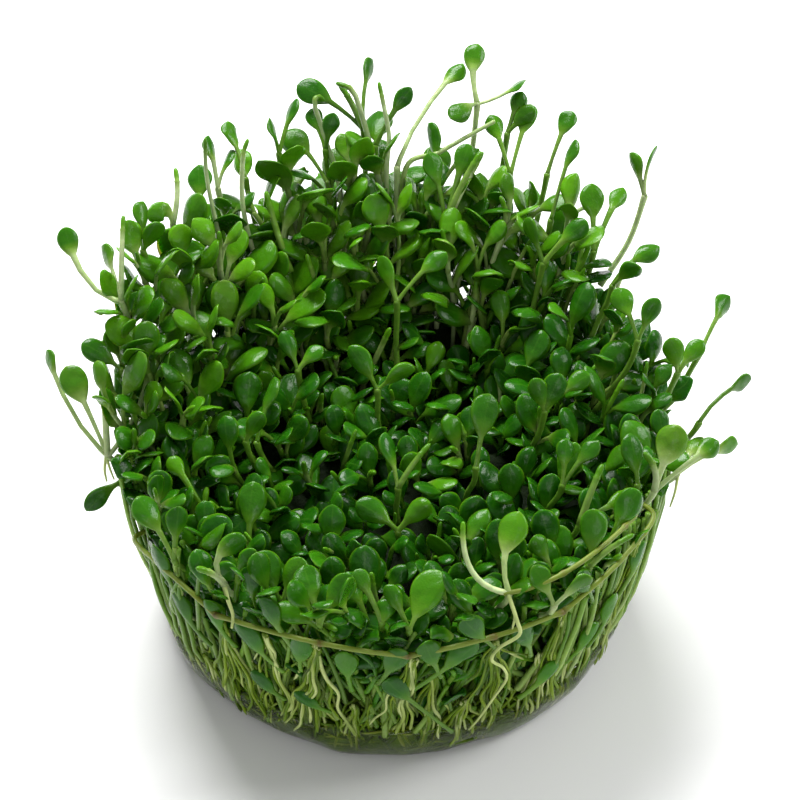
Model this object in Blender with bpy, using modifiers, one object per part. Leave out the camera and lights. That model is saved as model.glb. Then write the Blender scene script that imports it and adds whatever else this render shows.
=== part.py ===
"""Glossostigma, one portion of a tissue culture: jelly, root mat, leaf mass, runners and shoots.

The portion stands as it was grown in a tapered cup, on the flat underside of its jelly.
The frame's origin is the centre of that underside, +Z is up and -Y is the front.
All sizes below are in millimetres, and MM turns them into Blender's metres.
"""

import math

import bmesh
import bpy
from mathutils import Vector, noise

MM = 0.001

# Driving dimensions of the portion, which took the shape of its cup
BASE_RADIUS = 36.5
RIM_RADIUS = 44.0
JELLY_HEIGHT = 9.0
MAT_TOP = 31.7
CENTRE_HEIGHT = 36.0
BACK_RISE = 20.0
FRONT_RISE = 4.0
RIM_ROUNDING = 3.0
GAP = 0.3

# Radii of the rings that shape the top of the leaf mass
TOP_RINGS = (0.0, 7.0, 14.0, 21.0, 28.0, 34.0, 39.0, 42.0)

# Clumps of shoots that swell the top of the leaf mass
LUMP_HEIGHT = 3.6
LUMP_CELL = 7.5

# Sizes of stems, leaves and roots
STEM_RADIUS = 0.5
STALK_RADIUS = 0.42
BLADE_THICKNESS = 1.0
BLADE_RATIO = 1.4
BUD_WIDTH = 1.7
BUD_RATIO = 1.9
LEAF_ARCH = 0.16
RUNNER_RADIUS = 0.6
ROOTED_DEPTH = 3.0
TASSEL_WIDTH = 5.0
TASSEL_DEPTH = 2.2

# The way that the blades' upper faces look: up, and a little to the front
BLADE_FACING = (0.0, -0.5, 0.87)

# Facets round the turned pieces, and round a stem, stalk or blade
TURNED_STEPS = 30
RING_POINTS = 6

# The wall of the cup's shape, as radius at height
WALL = ((36.5, 0.0), (39.0, 3.0), (40.0, 9.0), (41.0, 18.0), (43.0, 30.0), (44.0, 38.0), (44.0, 60.0))

# Each shoot: where its leaves part, and for each leaf the way to its tip, and its width.
# A width of 0 is a closed bud on a stalk.
SHOOTS = {
    "shoot_left_cluster": ((-46, -2, 33), [((-10, 15, 9), 2.6), ((-6.5, 10, 10), 4.6), ((-0.5, 13, 13), 0)]),
    "shoot_left_low": ((-43.5, -9, 34), [((-5, -3.5, -3), 2.2)]),
    "shoot_left_fork": ((-43.5, 14, 52), [((-9, 8.5, 8), 3.5), ((0.5, 9, 10), 0), ((-3.5, 9.5, 3), 2)]),
    "shoot_left_folded": ((-43.5, 6, 44.5), [((-6, 1.5, 4), 3.8)]),
    "shoot_left_tall": ((-40.5, 24, 54), [((0, 6, 5), 2.6), ((3.5, 1, 4.5), 2)]),
    "shoot_left_bent": ((-36, 30, 54.5), [((0.5, 6, 6.5), 0), ((-3.5, -2, 2), 3.2)]),
    "shoot_left_broad": ((-31.5, 32, 50), [((-0.5, 8.5, 8), 4.3)]),
    "shoot_left_pale": ((-29, 39, 54.5), [((-1.5, 6, 6), 1.4), ((2, 6, 3), 2)]),
    "shoot_back_folded": ((-24.5, 41, 55), [((-3, 6.5, 6.5), 2.4)]),
    "shoot_back_left": ((-19, 45, 57), [((3, 6, 6.5), 2), ((-1.5, 3.5, 4.5), 1.8)]),
    "shoot_back_round": ((-5, 49, 59), [((-11, 5, 5), 4.4), ((-4, 3.5, 6.5), 0), ((1.5, 10, 6.5), 2.4)]),
    "shoot_back_long": ((0.6, 42, 56.5), [((11, 16.5, 8.5), 3.5)]),
    "shoot_back_high": ((14, 52, 62), [((0, 8, 6), 3.6), ((-4.5, -4.5, 0), 3.8), ((8, 1.5, 3.5), 1.8)]),
    "shoot_back_pair": ((19.5, 44, 53), [((3.5, 8, 8.5), 3.5), ((-3.5, 7, 7), 3.2)]),
    "shoot_back_inner": ((8.5, 36, 51), [((-2.5, 6, 8.5), 3.5)]),
    "shoot_right_back": ((25.5, 42, 55), [((4, 7, 7.5), 3.2)]),
    "shoot_right_folded": ((26, 35, 51), [((4, 9, 9.5), 2.2)]),
    "shoot_right_round": ((33, 30, 48.5), [((5, 10, 5), 3), ((-0.5, 7.5, 8), 4.3)]),
    "shoot_right_sprout": ((41, 33, 58), [((2, 5.5, 5.5), 1.6), ((-2.5, 4.5, 5), 1.2)]),
    "shoot_right_inner": ((24.5, 26, 49.5), [((7, 2.5, 6.5), 3.5), ((-3, 5, 5), 2.4)]),
    "shoot_right_thick": ((35.5, 20, 50), [((7.5, 4, 4.5), 3.5), ((4, -2, 5.5), 2.2)]),
    "shoot_right_pair": ((39, 8, 49), [((3, 3, 6), 3.2), ((-3.5, 6, 5.5), 3.8)]),
    "shoot_right_wide": ((45, 2, 47.5), [((-1.5, 2, 5.5), 3.5), ((4, 3.5, 3.5), 3)]),
    "shoot_right_far": ((49, 7, 47.5), [((5, 9, 3.5), 2.7)]),
    "shoot_right_out": ((48.5, -3, 41.5), [((8.5, 7.5, 2), 2.4)]),
    "shoot_right_low": ((45, -9, 36), [((4, 5.5, 2.5), 2.8), ((10, 7, -0.5), 2)]),
    "shoot_right_bright": ((40.5, -18, 41.5), [((3.5, 5.5, 8.5), 5.2), ((10, 6.5, 4), 3.4), ((-2, 2, 6), 0)]),
    "shoot_front_right": ((30, -32, 39.5), [((0.5, 5, 7), 4.3), ((6.5, 2.5, 4), 0)]),
    "shoot_front_bow": ((17.5, -38.5, 40.5), [((-7, 5, 10), 0), ((1.5, 8, 9), 4.7)]),
    "shoot_front_pair": ((24.4, -38.5, 37.5), [((-3.5, 2.5, 6), 3.6), ((5.5, 1.5, 4.5), 2.2)]),
    "shoot_front_broad": ((2.5, -43, 37), [((4.5, 7, 5.5), 5.2), ((-3.5, 4.5, 5), 2.8)]),
    "shoot_front_left": ((-11, -42, 37.5), [((-2.5, 7, 5), 4.4), ((5, 4, 6), 4)]),
    "shoot_front_corner": ((-33.5, -29, 37.5), [((-5.5, 6, 7.5), 4.4), ((1, 3.5, 8), 3.5)]),
    "shoot_front_pale": ((-25.5, -35, 38.5), [((3.5, 3.5, 6), 3.6), ((-4, -0.5, 4), 0)]),
    "shoot_middle_round": ((-2.5, 4, 42), [((-4.5, 4.5, 5), 3.8), ((6, 2, 2.5), 2.5)]),
    "shoot_middle_broad": ((13, -12, 40.5), [((2, 8, 8), 4.9)]),
    "shoot_middle_bud": ((0.8, -16, 40), [((-2, 6, 6), 2.4), ((5, 5, 4.5), 0)]),
    "shoot_middle_back": ((0.6, 20, 46.5), [((8, 5, 6), 3.5), ((-3, 5.5, 4.5), 2.4)]),
}

# Each runner: its points, which lie on the wall at a bearing in degrees from +X and a height
RUNNER_REACH = 1.2
RUNNERS = {
    "runner_left": ((-156, 30), (-146, 33), (-137, 34), (-128, 32)),
    "runner_front_left": ((-126.5, 32), (-116, 34), (-110, 34.5), (-105, 34.5)),
    "runner_front": ((-103.5, 34.5), (-96, 34), (-88, 33)),
    "runner_front_middle": ((-86, 33), (-79, 34), (-71, 34.5)),
    "runner_front_right": ((-69.5, 34.5), (-63, 34.5), (-56, 34)),
    "runner_right": ((-54, 34), (-45, 36), (-36, 37), (-28, 38)),
}

# Each bundle of roots: its bearing on the wall, its top and foot, and its width in parts of the usual
TASSELS = {
    "root_tassel_left": (-127, 30, 10.5, 1.1),
    "root_tassel_front_left": (-116, 32, 12, 0.8),
    "root_tassel_front": (-105, 32.5, 10, 1.3),
    "root_tassel_front_middle": (-86, 31, 13, 0.8),
    "root_tassel_front_right": (-69, 32, 14, 1.0),
    "root_tassel_right": (-54, 32, 10, 1.1),
    "root_tassel_side": (-31, 34, 20, 0.9),
}

# The outline of a root bundle: share of the way down, then width and depth in parts of the fullest
TASSEL_OUTLINE = ((0.0, 0.35, 0.5), (0.2, 0.8, 0.9), (0.55, 1.0, 1.0), (0.85, 0.8, 0.8), (1.0, 0.3, 0.4))
TASSEL_SWAY = 0.8

# Colours of the pieces
JELLY_GREEN = (0.42, 0.45, 0.16)
MAT_GREEN = (0.18, 0.24, 0.08)
LEAF_GREEN = (0.07, 0.22, 0.03)
RUNNER_GREEN = (0.24, 0.22, 0.06)
ROOT_CREAM = (0.62, 0.64, 0.42)


def clear_scene():
    for item in list(bpy.data.objects):
        bpy.data.objects.remove(item, do_unlink=True)


def new_collection(name, hidden=False):
    made = bpy.data.collections.new(name)
    made.hide_render = hidden
    bpy.context.scene.collection.children.link(made)
    return made


def new_material(name, colour, roughness, alpha=1.0):
    made = bpy.data.materials.new(name)
    made.use_nodes = True
    shader = made.node_tree.nodes["Principled BSDF"]
    shader.inputs["Base Color"].default_value = (*colour, 1.0)
    shader.inputs["Roughness"].default_value = roughness
    shader.inputs["Metallic"].default_value = 0.0
    shader.inputs["Alpha"].default_value = alpha
    return made


def new_object(name, mesh, collection, material=None):
    made = bpy.data.objects.new(name, mesh)
    collection.objects.link(made)
    if material:
        mesh.materials.append(material)
    return made


def as_helper(item):
    """Marks a cutter, or a piece that is joined into another."""
    item.hide_render = True
    item.display_type = "WIRE"


def wall_radius(height):
    """Radius of the wall at a height, read along straight lines between its points."""
    for (low_radius, low), (high_radius, high) in zip(WALL, WALL[1:]):
        if height <= high:
            share = (height - low) / (high - low)
            return low_radius + share * (high_radius - low_radius)
    return WALL[-1][0]


def top_height(x, y):
    """Height of the leaf mass: a dished top, which rises to the back and rounds off at the rim."""
    radius = math.hypot(x, y)
    reach = radius / RIM_RADIUS
    toward_back = y / radius if radius > 0 else 0.0
    rise = (BACK_RISE + FRONT_RISE) / 2 + toward_back * (BACK_RISE - FRONT_RISE) / 2
    return CENTRE_HEIGHT + rise * reach**2 - RIM_ROUNDING * reach**8


def on_wall(bearing, height, out):
    angle = math.radians(bearing)
    radius = wall_radius(height) + out
    return Vector((radius * math.cos(angle), radius * math.sin(angle), height))


def turned(name, profile, collection, material):
    """A solid of revolution: the profile, from the top down its outer side, turned about +Z."""
    mesh = bpy.data.meshes.new(name)
    points = [(radius * MM, 0.0, height * MM) for radius, height in profile]
    edges = [(index, index + 1) for index in range(len(points) - 1)]
    mesh.from_pydata(points, edges, [])
    guide = new_object(name + "_profile", mesh, collection)
    screw = guide.modifiers.new("Screw", "SCREW")
    screw.steps = TURNED_STEPS
    screw.render_steps = TURNED_STEPS
    screw.use_merge_vertices = True
    screw.merge_threshold = 0.00001
    evaluated = guide.evaluated_get(bpy.context.evaluated_depsgraph_get())
    solid_mesh = bpy.data.meshes.new_from_object(evaluated)
    solid_mesh.name = name
    bpy.data.objects.remove(guide, do_unlink=True)
    return new_object(name, solid_mesh, collection, material)


def uneven(item, depth, cell, keep_flat):
    """Moves each point of a turned solid out or in by noise, apart from those on its flat faces."""
    for vertex in item.data.vertices:
        point = vertex.co / MM
        if keep_flat(point):
            continue
        out = Vector((point.x, point.y, 0.0))
        push = depth * noise.noise(point / cell)
        if out.length > 1.0:
            vertex.co += out.normalized() * push * MM


def make_jelly(collection, material):
    profile = [
        (0.0, JELLY_HEIGHT),
        (wall_radius(JELLY_HEIGHT) - 1.0, JELLY_HEIGHT),
        (wall_radius(JELLY_HEIGHT), JELLY_HEIGHT - 1.2),
        (wall_radius(5.0), 5.0),
        (wall_radius(2.5), 2.5),
        (BASE_RADIUS + 1.2, 0.7),
        (BASE_RADIUS, 0.0),
        (0.0, 0.0),
    ]
    slab = turned("jelly_slab", profile, collection, material)
    uneven(slab, 0.8, 9.0, lambda point: point.z < 0.1)


def make_root_mat(collection, material):
    bottom = JELLY_HEIGHT + GAP
    profile = [
        (0.0, MAT_TOP),
        (22.0, MAT_TOP),
        (wall_radius(MAT_TOP) - 1.0, MAT_TOP),
        (wall_radius(26.0) - 1.0, 26.0),
        (wall_radius(18.0) - 1.0, 18.0),
        (wall_radius(bottom) - 1.0, bottom),
        (20.0, bottom),
        (0.0, bottom),
    ]
    mat = turned("root_mat", profile, collection, material)
    uneven(mat, 0.9, 7.0, lambda point: math.hypot(point.x, point.y) < 23.0)
    return mat


def make_canopy(collection, material):
    """The leaf mass, with its dished and lumpy top. Its shoots' sockets are cut afterwards."""
    bottom = MAT_TOP + GAP
    profile = [(radius, CENTRE_HEIGHT) for radius in TOP_RINGS]
    profile += [(RIM_RADIUS - 0.6, CENTRE_HEIGHT - 1.4), (wall_radius(bottom) - 0.6, bottom)]
    profile += [(22.0, bottom), (0.0, bottom)]
    canopy = turned("leaf_canopy", profile, collection, material)
    for vertex in canopy.data.vertices:
        point = vertex.co / MM
        if point.z < bottom + 0.1:
            continue
        lift = top_height(point.x, point.y) - CENTRE_HEIGHT
        lump = LUMP_HEIGHT * noise.noise(point / LUMP_CELL)
        vertex.co.z += (lift + lump) * MM
    return canopy


def make_loft(name, rings, collection, material=None):
    """A closed solid through rings of the same count of points, each ring of its own outline."""
    shape = bmesh.new()
    loops = [[shape.verts.new(point * MM) for point in ring] for ring in rings]
    for low, high in zip(loops, loops[1:]):
        for index in range(len(low)):
            after = (index + 1) % len(low)
            shape.faces.new((low[index], low[after], high[after], high[index]))
    shape.faces.new(list(reversed(loops[0])))
    shape.faces.new(loops[-1])
    bmesh.ops.recalc_face_normals(shape, faces=shape.faces)
    mesh = bpy.data.meshes.new(name)
    shape.to_mesh(mesh)
    shape.free()
    return new_object(name, mesh, collection, material)


def ring(centre, side, face, half_width, half_depth):
    points = []
    for index in range(RING_POINTS):
        angle = 2 * math.pi * index / RING_POINTS
        points.append(centre + side * half_width * math.cos(angle) + face * half_depth * math.sin(angle))
    return points


def bezier(start, middle, end, share):
    return start * (1 - share) ** 2 + middle * 2 * share * (1 - share) + end * share**2


def swept(start, middle, end, sections, facing):
    """Rings along a curve. Each section is a share of the way, a half width and a half depth."""
    rings = []
    for share, half_width, half_depth in sections:
        centre = bezier(start, middle, end, share)
        ahead = bezier(start, middle, end, share + 0.01) - bezier(start, middle, end, share - 0.01)
        along = ahead.normalized()
        side = along.cross(facing).normalized()
        rings.append(ring(centre, side, side.cross(along), half_width, half_depth))
    return rings


def leaf_sections(length, width, grow):
    """A stalk, then a blade that is broadest past its middle."""
    blade_start = max(0.25, 1.0 - BLADE_RATIO * width / length)
    blade = 1.0 - blade_start
    stalk = STALK_RADIUS + grow
    half_width = width / 2 + grow
    half_depth = BLADE_THICKNESS / 2 + grow
    return [
        (0.0, stalk, stalk),
        (blade_start, stalk, stalk),
        (blade_start + 0.3 * blade, 0.75 * half_width, half_depth),
        (blade_start + 0.62 * blade, half_width, half_depth),
        (blade_start + 0.88 * blade, 0.78 * half_width, 0.9 * half_depth),
        (1.0 + grow / length, 0.3 * half_width, 0.5 * half_depth),
    ]


def bud_sections(length, grow):
    """A stalk, then two small leaves that are still closed on each other."""
    bud_start = 1.0 - BUD_WIDTH * BUD_RATIO / length
    stalk = STALK_RADIUS * 0.8 + grow
    half_width = BUD_WIDTH / 2 + grow
    return [
        (0.0, stalk, stalk),
        (bud_start, stalk, stalk),
        (bud_start + 0.55 * (1.0 - bud_start), half_width, 0.8 * half_width),
        (1.0 + grow / length, 0.3 * half_width, 0.3 * half_width),
    ]


def in_leaf_mass(point, depth):
    under_top = point.z < top_height(point.x, point.y) - depth
    in_wall = math.hypot(point.x, point.y) < wall_radius(point.z) - depth
    return under_top and in_wall


def stem_foot(fork):
    """Where a shoot is rooted: a little way into the leaf mass, toward the portion's core."""
    core = Vector((0.6 * fork.x, 0.6 * fork.y, MAT_TOP + 2.5))
    steps = 60
    for step in range(steps):
        point = fork.lerp(core, step / steps)
        if in_leaf_mass(point, ROOTED_DEPTH):
            return point
    return core


def shoot_lofts(name, fork, leaves, collection, grow=0.0):
    """The lofts that make one shoot: its stem, and each leaf or bud from the fork."""
    fork = Vector(fork)
    foot = stem_foot(fork)
    facing = Vector(BLADE_FACING)
    past_fork = fork + (fork - foot).normalized() * 0.5
    radius = STEM_RADIUS + grow
    bow = foot.lerp(fork, 0.5) + Vector((0.0, 0.0, -0.6))
    sections = [(0.0, radius, radius), (0.5, radius, radius), (1.0, radius * 1.25, radius * 1.25)]
    lofts = [make_loft(name + "_stem", swept(foot, bow, past_fork, sections, facing), collection)]
    for number, (way, width) in enumerate(leaves, 1):
        way = Vector(way)
        tip = fork + way
        start = fork - way.normalized() * 0.1 * number
        middle = fork + way * 0.5 + Vector((0.0, 0.0, LEAF_ARCH * way.length))
        if width:
            sections = leaf_sections(way.length, width, grow)
        else:
            sections = bud_sections(way.length, grow)
        rings = swept(start, middle, tip, sections, facing)
        lofts.append(make_loft(f"{name}_leaf_{number}", rings, collection))
    return lofts


def join_solids(first, others):
    """Joins solids that run into each other into one closed body."""
    for other in others:
        union = first.modifiers.new("Join " + other.name, "BOOLEAN")
        union.operation = "UNION"
        union.solver = "MANIFOLD"
        union.object = other
        as_helper(other)


def make_shoots(parts, helpers, cutters, material):
    for name, (fork, leaves) in SHOOTS.items():
        lofts = shoot_lofts(name, fork, leaves, helpers)
        stem = lofts[0]
        helpers.objects.unlink(stem)
        parts.objects.link(stem)
        stem.name = name
        stem.data.materials.append(material)
        join_solids(stem, lofts[1:])
        for cutter in shoot_lofts(name + "_socket", fork, leaves, cutters, GAP):
            as_helper(cutter)


def make_runner(name, points, collection, material):
    """A creeping stem: a round wire along the wall, a little thicker at its rooted joints."""
    curve = bpy.data.curves.new(name, "CURVE")
    curve.dimensions = "3D"
    curve.bevel_depth = RUNNER_RADIUS * MM
    curve.bevel_resolution = 1
    curve.use_fill_caps = True
    spline = curve.splines.new("POLY")
    spline.points.add(len(points) - 1)
    for point, (bearing, height) in zip(spline.points, points):
        point.co = (*(on_wall(bearing, height, RUNNER_REACH) * MM), 1.0)
    spline.points[0].radius = 1.3
    spline.points[-1].radius = 1.3
    made = bpy.data.objects.new(name, curve)
    collection.objects.link(made)
    curve.materials.append(material)


def make_tassel(name, bearing, top, foot, breadth, collection, material):
    """A bundle of roots: a flat strand that hangs down the wall and thins to its foot."""
    angle = math.radians(bearing)
    across = Vector((-math.sin(angle), math.cos(angle), 0.0))
    out = Vector((math.cos(angle), math.sin(angle), 0.0))
    rings = []
    for share, width, depth in TASSEL_OUTLINE:
        height = top + share * (foot - top)
        half_depth = TASSEL_DEPTH * depth / 2
        centre = on_wall(bearing, height, GAP + TASSEL_DEPTH / 2)
        centre += across * TASSEL_SWAY * math.sin(4.0 * share + bearing)
        half_width = TASSEL_WIDTH * width * breadth / 2
        rings.append(ring(centre, across, out, half_width, half_depth))
    make_loft(name, rings, collection, material)


def cut_sockets(solid, cutters):
    sockets = solid.modifiers.new("Sockets", "BOOLEAN")
    sockets.operation = "DIFFERENCE"
    sockets.solver = "MANIFOLD"
    sockets.operand_type = "COLLECTION"
    sockets.collection = cutters


def build():
    clear_scene()
    parts = new_collection("glossostigma")
    helpers = new_collection("joined_leaves", hidden=True)
    cutters = new_collection("cutters", hidden=True)
    make_jelly(parts, new_material("jelly", JELLY_GREEN, 0.12, 0.5))
    mat = make_root_mat(parts, new_material("root mat", MAT_GREEN, 0.6))
    leaf = new_material("leaf", LEAF_GREEN, 0.35)
    canopy = make_canopy(parts, leaf)
    make_shoots(parts, helpers, cutters, leaf)
    cut_sockets(canopy, cutters)
    cut_sockets(mat, cutters)
    runner = new_material("runner", RUNNER_GREEN, 0.5)
    for name, points in RUNNERS.items():
        make_runner(name, points, parts, runner)
    root = new_material("root", ROOT_CREAM, 0.6)
    for name, (bearing, top, foot, breadth) in TASSELS.items():
        make_tassel(name, bearing, top, foot, breadth, parts, root)


build()
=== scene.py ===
"""Glossostigma, one portion of a tissue culture: the looks of each piece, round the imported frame.

Lengths are in millimetres, and MM turns them into metres. The origin is the centre of the
jelly's flat underside, +Z is up and -Y is the front that the photograph shows.
"""

import math

import bpy
import numpy as np
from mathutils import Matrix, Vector


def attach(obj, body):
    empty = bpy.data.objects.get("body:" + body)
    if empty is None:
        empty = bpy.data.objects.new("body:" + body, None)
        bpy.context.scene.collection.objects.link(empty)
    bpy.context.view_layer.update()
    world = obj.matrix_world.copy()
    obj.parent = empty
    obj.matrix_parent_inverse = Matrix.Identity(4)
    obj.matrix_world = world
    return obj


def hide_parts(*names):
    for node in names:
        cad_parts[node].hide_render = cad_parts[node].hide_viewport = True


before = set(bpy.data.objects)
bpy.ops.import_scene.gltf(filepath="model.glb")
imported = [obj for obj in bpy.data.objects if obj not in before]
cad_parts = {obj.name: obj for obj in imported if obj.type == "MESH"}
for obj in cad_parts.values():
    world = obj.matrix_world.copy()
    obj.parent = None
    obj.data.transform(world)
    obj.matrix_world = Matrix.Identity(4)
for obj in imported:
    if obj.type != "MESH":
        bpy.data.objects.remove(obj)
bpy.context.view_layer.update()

MM = 0.001

# The cup's shape, which the portion kept, as in the CAD model
WALL_HEIGHTS = (0.0, 3.0, 9.0, 18.0, 30.0, 38.0, 60.0)
WALL_RADII = (36.5, 39.0, 40.0, 41.0, 43.0, 44.0, 44.0)
RIM_RADIUS = 44.0
LEAF_WALL = 43.0
CENTRE_HEIGHT = 36.0
BACK_RISE = 20.0
FRONT_RISE = 4.0
RIM_ROUNDING = 3.0
CUP_LINE = 35.0

# Usual sizes of the plant
STEM_RADIUS = 0.5
STALK_HALF = 0.42
BLADE_HALF_DEPTH = 0.36
FOLDED_WIDTH = 2.8
OPEN_WIDTH = 3.8

UP = np.array((0.0, 0.0, 1.0))
BLADE_FACING = np.array((0.0, -0.5, 0.87))
LIGHT = np.array((0.0, -0.35, 0.94))
TO_EYE = np.array((0.0, -0.72, 0.69))
# A way that no stem runs along
SLANTED = (0.37, 0.71, 0.2)

# The shoots that stand clear, as in the CAD model: where the leaves part, then for each
# leaf the way to its tip, and last its width. A width of 0 is a closed bud on a stalk.
SHOOTS = {
    "left_cluster": (
        (-46, -2, 33),
        [(-10, 15, 9, 2.6), (-6.5, 10, 10, 4.6), (-0.5, 13, 13, 0), (7.5, 10.5, 12, 2.2)],
    ),
    "left_low": ((-43.5, -9, 34), [(-5, -3.5, -3, 2.2)]),
    "left_fork": ((-43.5, 14, 52), [(-9, 8.5, 8, 3.5), (0.5, 9, 10, 0), (-3.5, 9.5, 3, 2)]),
    "left_folded": ((-43.5, 6, 44.5), [(-6, 1.5, 4, 3.8)]),
    "left_tall": ((-40.5, 24, 54), [(0, 6, 5, 2.6), (3.5, 1, 4.5, 2)]),
    "left_bent": ((-36, 30, 54.5), [(0.5, 6, 6.5, 0), (-3.5, -2, 2, 3.2)]),
    "left_broad": ((-31.5, 32, 50), [(-0.5, 8.5, 8, 4.3)]),
    "left_pale": ((-29, 39, 54.5), [(-1.5, 6, 6, 1.4), (2, 6, 3, 2)]),
    "back_folded": ((-24.5, 41, 55), [(-3, 6.5, 6.5, 2.4)]),
    "back_left": ((-19, 45, 57), [(3, 6, 6.5, 2), (-1.5, 3.5, 4.5, 1.8)]),
    "back_round": ((-5, 49, 59), [(-11, 5, 5, 4.4), (-4, 3.5, 6.5, 0), (1.5, 10, 6.5, 2.4)]),
    "back_long": ((0.6, 42, 56.5), [(11, 16.5, 8.5, 3.5)]),
    "back_high": ((14, 52, 62), [(0, 8, 6, 3.6), (-4.5, -4.5, 0, 3.8), (8, 1.5, 3.5, 1.8)]),
    "back_pair": ((19.5, 44, 53), [(3.5, 8, 8.5, 3.5), (-3.5, 7, 7, 3.2)]),
    "back_inner": ((8.5, 36, 51), [(-2.5, 6, 8.5, 3.5)]),
    "right_back": ((25.5, 42, 55), [(4, 7, 7.5, 3.2)]),
    "right_folded": ((26, 35, 51), [(4, 9, 9.5, 2.2)]),
    "right_round": ((33, 30, 48.5), [(5, 10, 5, 3), (-0.5, 7.5, 8, 4.3)]),
    "right_sprout": ((41, 33, 58), [(2, 5.5, 5.5, 1.6), (-2.5, 4.5, 5, 1.2)]),
    "right_inner": ((24.5, 26, 49.5), [(7, 2.5, 6.5, 3.5), (-3, 5, 5, 2.4)]),
    "right_thick": ((35.5, 20, 50), [(7.5, 4, 4.5, 3.5), (4, -2, 5.5, 2.2)]),
    "right_pair": ((39, 8, 49), [(3, 3, 6, 3.2), (-3.5, 6, 5.5, 3.8)]),
    "right_wide": ((45, 2, 47.5), [(-1.5, 2, 5.5, 3.5), (4, 3.5, 3.5, 3)]),
    "right_far": ((49, 7, 47.5), [(5, 9, 3.5, 2.7)]),
    "right_out": ((48.5, -3, 41.5), [(8.5, 7.5, 2, 2.4)]),
    "right_low": ((45, -9, 36), [(4, 5.5, 2.5, 2.8), (10, 7, -0.5, 2)]),
    "right_bright": ((40.5, -18, 41.5), [(3.5, 5.5, 8.5, 5.2), (10, 6.5, 4, 3.4), (-2, 2, 6, 0)]),
    "front_right": ((30, -32, 39.5), [(0.5, 5, 7, 4.3), (6.5, 2.5, 4, 0)]),
    "front_bow": ((17.5, -38.5, 40.5), [(-7, 5, 10, 0), (1.5, 8, 9, 4.7)]),
    "front_pair": ((24.4, -38.5, 37.5), [(-3.5, 2.5, 6, 3.6), (5.5, 1.5, 4.5, 2.2)]),
    "front_broad": ((2.5, -43, 37), [(4.5, 7, 5.5, 5.2), (-3.5, 4.5, 5, 2.8)]),
    "front_left": ((-11, -42, 37.5), [(-2.5, 7, 5, 4.4), (5, 4, 6, 4)]),
    "front_corner": ((-33.5, -29, 37.5), [(-5.5, 6, 7.5, 4.4), (1, 3.5, 8, 3.5)]),
    "front_pale": ((-25.5, -35, 38.5), [(3.5, 3.5, 6, 3.6), (-4, -0.5, 4, 0)]),
    "middle_round": ((-2.5, 4, 42), [(-4.5, 4.5, 5, 3.8), (6, 2, 2.5, 2.5)]),
    "middle_broad": ((13, -12, 40.5), [(2, 8, 8, 4.9)]),
    "middle_bud": ((0.8, -16, 40), [(-2, 6, 6, 2.4), (5, 5, 4.5, 0)]),
    "middle_back": ((0.6, 20, 46.5), [(8, 5, 6, 3.5), (-3, 5.5, 4.5, 2.4)]),
}

# Stalks that bow: for each leaf, the bend's control point from where the leaves part
BOWS = {
    "left_cluster": {0: (-6.5, 4.5, 3.5), 3: (5.5, 3, 3.5)},
    "left_fork": {0: (-6.5, 1, 0), 2: (-1, 4, 2.5)},
    "left_bent": {0: (1.5, 2, 4.5), 1: (-0.5, 1, 4.5)},
    "back_long": {0: (2.5, 7.5, 4.5)},
    "back_high": {0: (-1.5, 3.5, 4), 2: (3.5, 0.5, 0)},
    "back_round": {2: (-0.5, 4, 5)},
    "right_sprout": {0: (-0.5, 1.5, 4)},
    "right_thick": {0: (1.5, 0.5, 4.5)},
    "right_bright": {1: (4, 1.5, 3.5), 2: (0.8, 1, 3.5)},
    "right_out": {0: (2.5, 3, 3.5)},
    "front_bow": {0: (-7.6, 0.5, 0.5), 1: (-2.2, 2.5, 4.5)},
    "front_pale": {0: (-3.4, 1, 5.5), 1: (-1, 0.5, 2)},
}

# Shoots whose stalks stayed pale, because they grew past the light
PALE_SHOOTS = (
    "left_cluster", "left_fork", "left_bent", "left_pale", "back_long", "back_high", "right_sprout",
    "right_low", "right_bright", "front_bow", "front_pair", "front_pale",
)

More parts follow.
